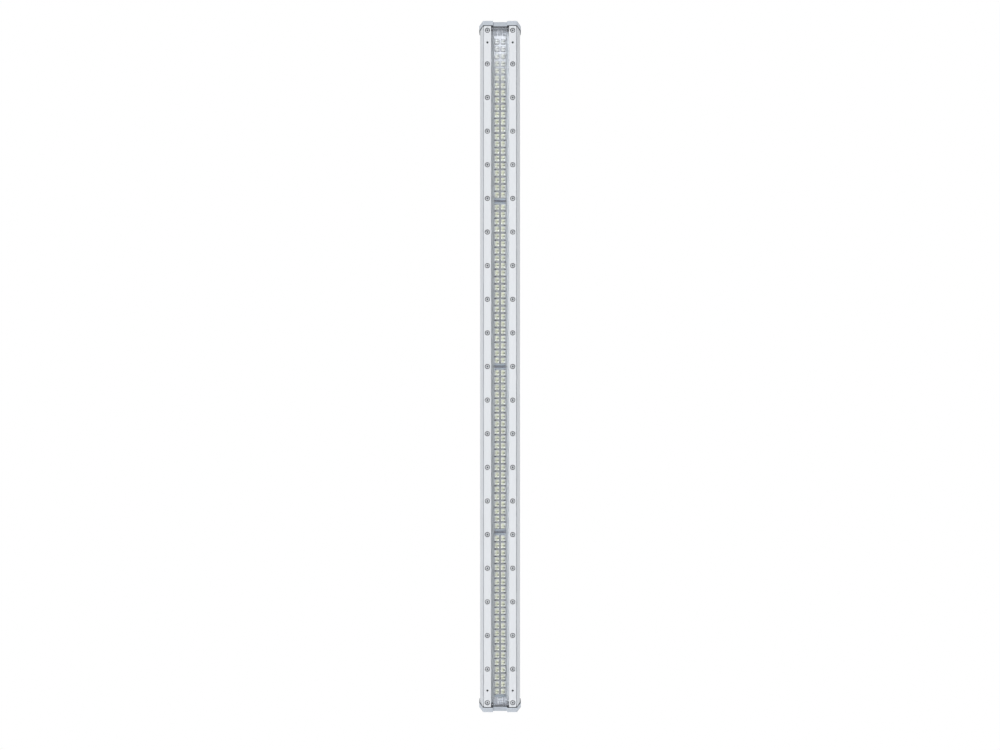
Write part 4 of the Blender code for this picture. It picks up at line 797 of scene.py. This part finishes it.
# Painted shade across the saddle between the two lobes, and a painted dark reflection beside the middle.
painted_light_spots(
    lens_acrylic,
    lens_place,
    [((0.5, 0.48), (0.36, 0.06), 0.6, shade(146, 152, 144)), ((0.70, 0.48), (0.11, 0.13), 0.5, shade(84, 91, 78))],
    at_top=0.7,
)
# On the plate painted shade repeats with the rows: a dark bar in each gap between two rows, darkest at its ends, and a
# line between the two columns. At a joint the plate's end is plain and painted darker with shade, with a painted dark
# line of shade along its edge.
# Near the lamp's top end the whole plate is painted pale, which is painted light.
counted = node(plate_acrylic.node_tree, "ShaderNodeUVMap", uv_map="plate_place").outputs[0]
painted_light_spots(
    plate_acrylic,
    node(plate_acrylic.node_tree, "ShaderNodeVectorMath", {0: counted}, operation="FRACTION").outputs[0],
    [
        ((0.5, 0.5), (0.05, 2.0), 0.3, shade(84, 89, 90)),
        ((0.5, 0.5), (0.47, 0.11), 0.2, shade(130, 134, 137)),
        ((0.10, 0.5), (0.10, 0.10), 0.4, shade(72, 77, 78)),
        ((0.90, 0.5), (0.10, 0.10), 0.4, shade(80, 85, 86)),
    ],
    at_top=0.2,
)
joint_shade_bands = [((0.5, row), (4.0, 0.27), 0.15, shade(142, 152, 162)) for row in (-10.74, 11.74)]
joint_shade_lines = [((0.5, row), (4.0, 0.10), 0.15, shade(84, 87, 102)) for row in (-10.78, 11.78)]
painted_light_spots(plate_acrylic, counted, joint_shade_bands, at_top=0.0)
painted_light_spots(plate_acrylic, counted, joint_shade_lines, at_top=0.0, both_ends=True)
painted_light_spots(plate_acrylic, counted, [((0.5, 11.8), (4.0, 4.5), 0.4, shade(224, 227, 233))], at_top=0.95, below=0.0)


def map_corners(piece, name, places):
    """Gives a piece a UV map from one (u, v) for each of its vertices."""
    vertex = np.zeros(len(piece.data.loops), int)
    piece.data.loops.foreach_get("vertex_index", vertex)
    piece.data.uv_layers.new(name=name).data.foreach_set("uv", places[vertex].ravel())


plate_outline = oblong(PLATE_HALF_X, PLATE_HALF_Z, 1)
pin_rings = [(-PIN_LENGTH, 0.9, 0), (-1.6, 1, 0), (0.5, 1, 0)]
pin_spots = [(x * PIN_X * MM, z * PIN_Z * MM) for x in (-1, 1) for z in (-1, 1)]
lens_centres = np.array(
    [(side * COLUMN_X, 0, (row - (ROWS - 1) / 2) * ROW_PITCH) for row in range(ROWS) for side in (-1, 1)]
)
lens_places = np.tile(lens_uv.reshape(-1, 2), (len(lens_centres), 1))
for number, mid in plate_mid.items():
    plate = extruded(f"lens_plate_{number}", plate_outline, 0, PLATE_THICKNESS, TO_ROOM, [(0, plate_back, mid)])
    pins = [(x, plate_back, mid + z) for x, z in pin_spots]
    combined(plate, "UNION", turned("pins", pin_rings, TO_ROOM, pins, sides=16))
    place = np.zeros((len(plate.data.vertices), 3))
    plate.data.vertices.foreach_get("co", place.ravel())
    # Across the plate u runs from 0 to 1, and v counts rows, with every gap between rows at a half.
    across = place[:, 0] / (2 * PLATE_HALF_X * MM) + 0.5
    along = (place[:, 2] - mid) / ROW_PITCH + 0.5
    map_corners(plate, "plate_place", np.stack([across, along], axis=-1))
    eased(plate, 0.2)
    dress(plate, plate_acrylic, "lens_plastic", f"lens_array_{number}")
    shape = lens_shape * (1, -1, 1) + (0, plate_face + LENS_SUNK, mid)
    points = (lens_centres[:, None, None] + shape).reshape(-1, 3)
    start = np.arange(len(lens_centres))[:, None, None] * lens_shape[..., 0].size
    faces = (lens_quads + start).reshape(-1, 4).tolist() + (rim + start[:, 0]).tolist()
    lenses = new_piece(f"lenses_{number}", points.tolist(), faces)
    lenses.data.set_sharp_from_angle(angle=LENS_SHARP_ANGLE)
    map_corners(lenses, "lens_place", lens_places)
    dress(lenses, lens_acrylic, "lens_plastic", f"lens_array_{number}")


# Board links. Low connectors of pale nylon that carry the current from one board to the next. They are pressed
# onto the boards' ends, under the ends of the lens plates.
pale_nylon = finish(
    "pale_nylon", shade(150, 158, 168), shade(162, 170, 180),
    patches=80.0, grains=2200.0, roughness=(0.45, 0.55), height=0.01,
)
paint_nodes(pale_nylon, "board_link_1", "board_link_2", "board_link_3")


# Leads. Two silicone-covered wires from each end of the LED row, which run over the guide, dip through the cap's
# pocket round the end of the trough's floor and run back to the driver.
lead_silicone = finish(
    "lead_silicone", shade(238, 240, 246), shade(244, 246, 250),
    patches=70.0, grains=2500.0, roughness=(0.38, 0.5), height=0.01,
)


def smooth_path(stops, samples):
    """A Catmull-Rom curve through the stops. Between b and c, with neighbours a and d, the point at t is
    (2b + (c - a)t + (2a - 5b + 4c - d)t^2 + (3b - a - 3c + d)t^3) / 2."""
    stops = np.array(stops, float)
    ends = np.vstack([2 * stops[0] - stops[1], stops, 2 * stops[-1] - stops[-2]])
    a, b, c, d = ends[:-3, None], ends[1:-2, None], ends[2:-1, None], ends[3:, None]
    t = np.linspace(0, 1, samples, endpoint=False)[:, None]
    path = (2 * b + (c - a) * t + (2 * a - 5 * b + 4 * c - d) * t**2 + (3 * b - a - 3 * c + d) * t**3) / 2
    return np.vstack([path.reshape(-1, 3), stops[-1]])


def tube(name, path, radius):
    """A round tube along a path. A ring's point at the angle t is the path's point + radius * (cos t * n -
    sin t * m), where m stands square on the path's own plane and n square to both m and the path."""
    along = np.gradient(path, axis=0)
    along /= np.linalg.norm(along, axis=1, keepdims=True)
    across = np.cross(path[len(path) // 2] - path[0], path[-1] - path[0])
    across /= np.linalg.norm(across)
    level = np.cross(along, across)
    level /= np.linalg.norm(level, axis=1, keepdims=True)
    across = np.cross(level, along)
    angle = np.linspace(0, 2 * np.pi, 16, endpoint=False)[None, :, None]
    rings = path[:, None] + radius * (np.cos(angle) * level[:, None] - np.sin(angle) * across[:, None])
    return loft(name, rings)


LEAD_RADIUS = 0.85 * MM
# Each stop is its distance to the side, its depth and its height in millimetres, for the leads at the top end.
lead_stops = [
    (4.5, 25.7, 577.0), (4.5, 25.5, 582.5), (4.5, 24.9, 587.0), (3.0, 23.5, 591.3),
    (1.9, 25.4, 594.6), (1.5, 30.25, 595.6), (1.4, 37.0, 592.5),
    (6.95, 40.65, 582.5), (12.5, 43.15, 572.5), (12.5, 43.15, 531.6),
]
for end, _, sign in ENDS:
    for side, across in SIDES:
        route = np.array([(across * x, depth, sign * z) for x, depth, z in lead_stops]) * MM + (0, front_y, 0)
        lead = tube(f"wire_{end}_{side}", smooth_path(route, samples=6), LEAD_RADIUS)
        dress(lead, lead_silicone, "lead_sleeve", f"lead_{end}_{side}")


# Drivers. Two sealed cases of drawn aluminium, pressed onto grey thermal pads in the rear chamber, with one
# black lead between them.
driver_case = finish(
    "driver_case", shade(150, 153, 157), shade(166, 169, 173),
    patches=25.0, grains=1200.0, roughness=(0.35, 0.5), height=0.01, stretch=(1, 1, 0.05), Metallic=0.8,
)
grey_pad = finish(
    "grey_pad", shade(168, 176, 190), shade(180, 188, 200),
    patches=60.0, grains=1500.0, roughness=(0.7, 0.85), height=0.03,
)
black_nylon = finish(
    "black_nylon", shade(52, 53, 56), shade(62, 63, 66),
    patches=60.0, grains=1800.0, roughness=(0.42, 0.55), height=0.015,
)
paint_nodes(driver_case, "led_driver_top", "led_driver_bottom")
paint_nodes(grey_pad, "driver_pad_top", "driver_pad_bottom")
paint_nodes(black_nylon, "driver_link_lead")


# Cable gland. A nylon body through the back wall with its locknut inside, a rubber seal in its mouth and a domed
# nut that squeezes the seal round the cable. Heights are from the housing's back face.
gland_seat = [(0, back_y, gland_z)]
gland_body = turned(
    "gland_stem",
    [
        (-9.5, 7.4, 0), (-9.1, 7.8, 0), (0.3, 7.8, 0),
        (0.3, 10.2, 11), (0.7, 10.9, 11), (3.9, 10.9, 11), (4.3, 10.2, 11),
        (4.3, 7.8, 0), (12.0, 7.8, 0), (12.3, 7.5, 0),
        (12.3, 6.1, 0), (5.8, 6.1, 0), (5.8, 4.6, 0), (-9.5, 4.6, 0),
    ],
    TO_WALL, gland_seat, bored=True,
)
dress(gland_body, black_nylon, "nylon", "gland_body")
gland_seal = turned(
    "gland_ring",
    [(6.1, 5.8, 0), (13.6, 5.8, 0), (13.6, 4.1, 0), (13.2, 3.7, 0), (6.5, 3.7, 0), (6.1, 4.1, 0)],
    TO_WALL, gland_seat, bored=True,
)
dress(gland_seal, black_rubber, "rubber", "gland_seal")
gland_dome = [(14.1 + 4.5 * math.sin(t), 6.4 + 2.7 * math.cos(t), 0) for t in np.linspace(0, math.pi / 2, 7)]
gland_nut = turned(
    "gland_dome_nut",
    [
        (4.6, 9.9, 10.6), (4.9, 10.5, 10.6), (13.4, 10.5, 10.6), (13.8, 10.1, 10.6), (14.1, 9.3, 10.6),
        *gland_dome,
        (18.6, 4.6, 0), (18.3, 4.3, 0),
        (13.8, 4.3, 0), (13.8, 8.1, 0), (4.6, 8.1, 0),
    ],
    TO_WALL, gland_seat, bored=True,
)
dress(gland_nut, black_nylon, "nylon", "gland_nut")
locknut = turned(
    "gland_back_nut",
    [(-6.5, 10.0, 10.8), (-6.1, 10.7, 10.8), (-3.7, 10.7, 10.8), (-3.3, 10.0, 10.8), (-3.3, 8.1, 0), (-6.5, 8.1, 0)],
    TO_WALL, gland_seat, bored=True,
)
dress(locknut, black_nylon, "nylon", "gland_locknut")


# Breather vent. A small screwed-in nylon plug with a membrane under its cap, which lets the lamp breathe but
# keeps water out.
vent = turned(
    "vent_plug",
    [
        (-9, 5.5, 0), (-8.6, 5.9, 0), (0.3, 5.9, 0),
        (0.3, 7.9, 8.6), (0.6, 8.5, 8.6), (3.0, 8.5, 8.6), (3.3, 8.0, 8.6),
        (3.3, 6.0, 0), (4.1, 6.0, 0),
        (4.1, 6.6, 0), (6.3, 6.6, 0), (7.0, 6.3, 0), (7.3, 5.6, 0),
        (7.3, 3.0, 0), (6.9, 2.7, 0),
    ],
    TO_WALL,
    [(0, back_y, vent_z)],
)
dress(vent, black_nylon, "nylon", "breather_vent")


# Saddles and jaws. Zinc-plated steel brackets that hook over one side of the rail's head, while a bolted jaw
# grips the other side. An ear welded to the saddle carries the pivot bolt.
zinc = finish(
    "zinc_plated_steel", shade(168, 172, 176), shade(192, 196, 200),
    patches=140.0, grains=900.0, roughness=(0.3, 0.48), height=0.008, Metallic=0.9,
)
BRACKET_HEIGHTS = {"upper": 350.0, "lower": -350.0}
PIVOT_Y = -50.0
EAR_RADIUS = 13
EAR_NEAR, EAR_FAR = 0.9 * MM, 4.9 * MM
BEAD_HALF, BEAD_RADIUS, BEAD_RIPPLE = 12.4, 0.9, 1.2
SADDLE_HALF, SADDLE_DEPTH = 25 * MM, 65.8
EASED, EDGE_RADIUS = 0.35, 0.4
depth_to_y = front_y / MM


def plate_shape(corners):
    """The outline of a folded plate from its (x, depth) corners in millimetres."""
    return rounded([(x, depth_to_y + depth, EDGE_RADIUS) for x, depth in corners], steps=5)


def ear_outline(root_y):
    """An ear's outline: half a circle about the pivot, and straight sides to its root."""
    start = 0 if root_y < PIVOT_Y else math.pi
    turn = start + np.linspace(0, math.pi, 33)
    arc = np.stack([EAR_RADIUS * np.cos(turn), EAR_RADIUS * np.sin(turn) + PIVOT_Y], axis=-1)
    root = [(arc[-1, 0], root_y), (arc[0, 0], root_y)]
    return np.vstack([arc, root]) * MM


def weld_bead(name, y, height):
    """A fillet weld along an ear's root: a round bar along x, whose radius swells by a tenth at every ripple."""
    along = np.linspace(-BEAD_HALF, BEAD_HALF, 60)
    angle = np.linspace(0, 2 * np.pi, 12, endpoint=False)
    swell = BEAD_RADIUS * (1 + 0.1 * np.sin(along * 2 * np.pi / BEAD_RIPPLE))[:, None]
    ring = [along[:, None] + 0 * angle, y + swell * np.cos(angle), height + swell * np.sin(angle)]
    return loft(name, np.stack(ring, axis=-1) * MM)


saddle_outline = plate_shape(
    [(20, 61.8), (20, SADDLE_DEPTH), (-15.3, SADDLE_DEPTH), (-15.3, 56.1)]
    + [(-7.9, 56.1), (-7.9, 58.2), (-11.3, 58.2), (-11.3, 61.8)]
)
jaw_outline = plate_shape([(7.9, 56.1), (20, 56.1), (20, 61.5), (11.3, 61.5), (11.3, 58.2), (7.9, 58.2)])
bolt_hole_rings = [(-12, 2.5, 0), (2, 2.5, 0)]
jaw_bolt_rings = [
    (-9.7, 1.8, 0), (-9.3, 2.2, 0), (0.3, 2.2, 0),
    (0.3, 3.7, 4.2), (0.5, 4.1, 4.2), (3.2, 4.15, 4.2), (3.5, 3.85, 4.2), (3.8, 3.3, 4.2),
]
jaw_bolt_x, jaw_bolt_y, jaw_bolt_above = 15.6 * MM, front_y + SADDLE_DEPTH * MM, 14
jaw_low = 3 * MM
saddle_ear = ear_outline(depth_to_y + 63.8)
# A bead runs along the root of each ear on both of its faces.
saddle_bead_y, saddle_beads = depth_to_y + 66.0, {"over": 5.2, "under": 0.6}
for name, height in BRACKET_HEIGHTS.items():
    at = [(0, 0, height * MM)]
    bolt_at = [(jaw_bolt_x, jaw_bolt_y, (height + jaw_bolt_above) * MM)]
    saddle = extruded(f"saddle_{name}", saddle_outline, -SADDLE_HALF, SADDLE_HALF, UPWARDS, at)
    combined(saddle, "UNION", extruded("ear", saddle_ear, EAR_NEAR, EAR_FAR, UPWARDS, at))
    combined(
        saddle,
        "DIFFERENCE",
        turned("bolt_hole", bolt_hole_rings, TO_WALL, bolt_at, sides=32),
        turned("pivot_hole", [(0, 3.3, 0), (6, 3.3, 0)], UPWARDS, [(0, PIVOT_Y * MM, height * MM)]),
    )
    eased(saddle, EASED)
    dress(saddle, zinc, "steel", f"rail_saddle_{name}")
    for face, level in saddle_beads.items():
        bead = weld_bead(f"weld_{face}_{name}", saddle_bead_y, height + level)
        dress(bead, zinc, "steel")
    jaw = extruded(f"jaw_{name}", jaw_outline, jaw_low, SADDLE_HALF, UPWARDS, at)
    combined(jaw, "DIFFERENCE", turned("bolt_hole", bolt_hole_rings, TO_WALL, bolt_at, sides=32))
    eased(jaw, EASED)
    dress(jaw, zinc, "steel", f"rail_jaw_{name}")
    bolt = turned(f"clamp_bolt_{name}", jaw_bolt_rings, TO_WALL, bolt_at)
    dress(bolt, screw_steel, "steel", f"jaw_bolt_{name}")


# Wall feet. A drilled steel plate screwed to the wall, with an ear that meets the saddle's. The pivot bolt with
# its washer and nut joins the two ears and lets the lamp tilt.
FOOT_THICKNESS, WALL_SCREW_Z = 4 * MM, 22
foot_outline = oblong(22, 34, 4, steps=8)
foot_ear = ear_outline(-2)
foot_bead_y, foot_beads = -4.2, {"over": -0.6, "under": -5.2}
pivot_bolt_rings = [
    (-9.2, 4.4, 5.6), (-8.9, 4.9, 5.6), (-8.5, 5.3, 5.6), (-8.1, 5.6, 5.6), (-5.2, 5.6, 5.6),
    (-5.2, 3, 0), (11.8, 3, 0), (12.2, 2.6, 0),
]
pivot_nut_rings = [
    (5.2, 5.0, 5.6), (5.6, 5.5, 5.6), (9.6, 5.5, 5.6), (10.0, 5.1, 5.6), (10.2, 4.7, 5.6),
    (10.2, 3.6, 0), (9.9, 3.3, 0), (5.5, 3.3, 0), (5.2, 3.6, 0),
]
washer_rings = [(-0.6, 6.1, 0), (-0.5, 6.2, 0), (0.5, 6.2, 0), (0.6, 6.1, 0), (0.6, 3.3, 0), (-0.6, 3.3, 0)]
pivot_fixings = [
    ("hex_bolt", pivot_bolt_rings, False, "pivot_bolt"),
    ("hex_nut", pivot_nut_rings, True, "pivot_nut"),
    ("washer", washer_rings, True, "pivot_washer"),
]
for name, height in BRACKET_HEIGHTS.items():
    at = [(0, 0, height * MM)]
    on_axis = [(0, PIVOT_Y * MM, height * MM)]
    foot = extruded(f"foot_{name}", foot_outline, 0, FOOT_THICKNESS, TO_ROOM, at)
    combined(foot, "UNION", extruded("ear", foot_ear, -EAR_FAR, -EAR_NEAR, UPWARDS, at))
    wall_holes = [(0, 0, (height + z) * MM) for z in (-WALL_SCREW_Z, WALL_SCREW_Z)]
    combined(
        foot,
        "DIFFERENCE",
        turned("wall_holes", [(-1, 3.3, 0), (5, 3.3, 0)], TO_ROOM, wall_holes),
        turned("pivot_hole", [(-6, 3.3, 0), (0, 3.3, 0)], UPWARDS, on_axis),
    )
    eased(foot, EASED)
    dress(foot, zinc, "steel", f"wall_foot_{name}", body="wall_brackets")
    for face, level in foot_beads.items():
        bead = weld_bead(f"foot_weld_{face}_{name}", foot_bead_y, height + level)
        dress(bead, zinc, "steel", body="wall_brackets")
    for kind, rings, bored, stood_for in pivot_fixings:
        fixing = turned(f"{kind}_{name}", rings, UPWARDS, on_axis, bored)
        dress(fixing, screw_steel, "steel", f"{stood_for}_{name}", body="wall_brackets")
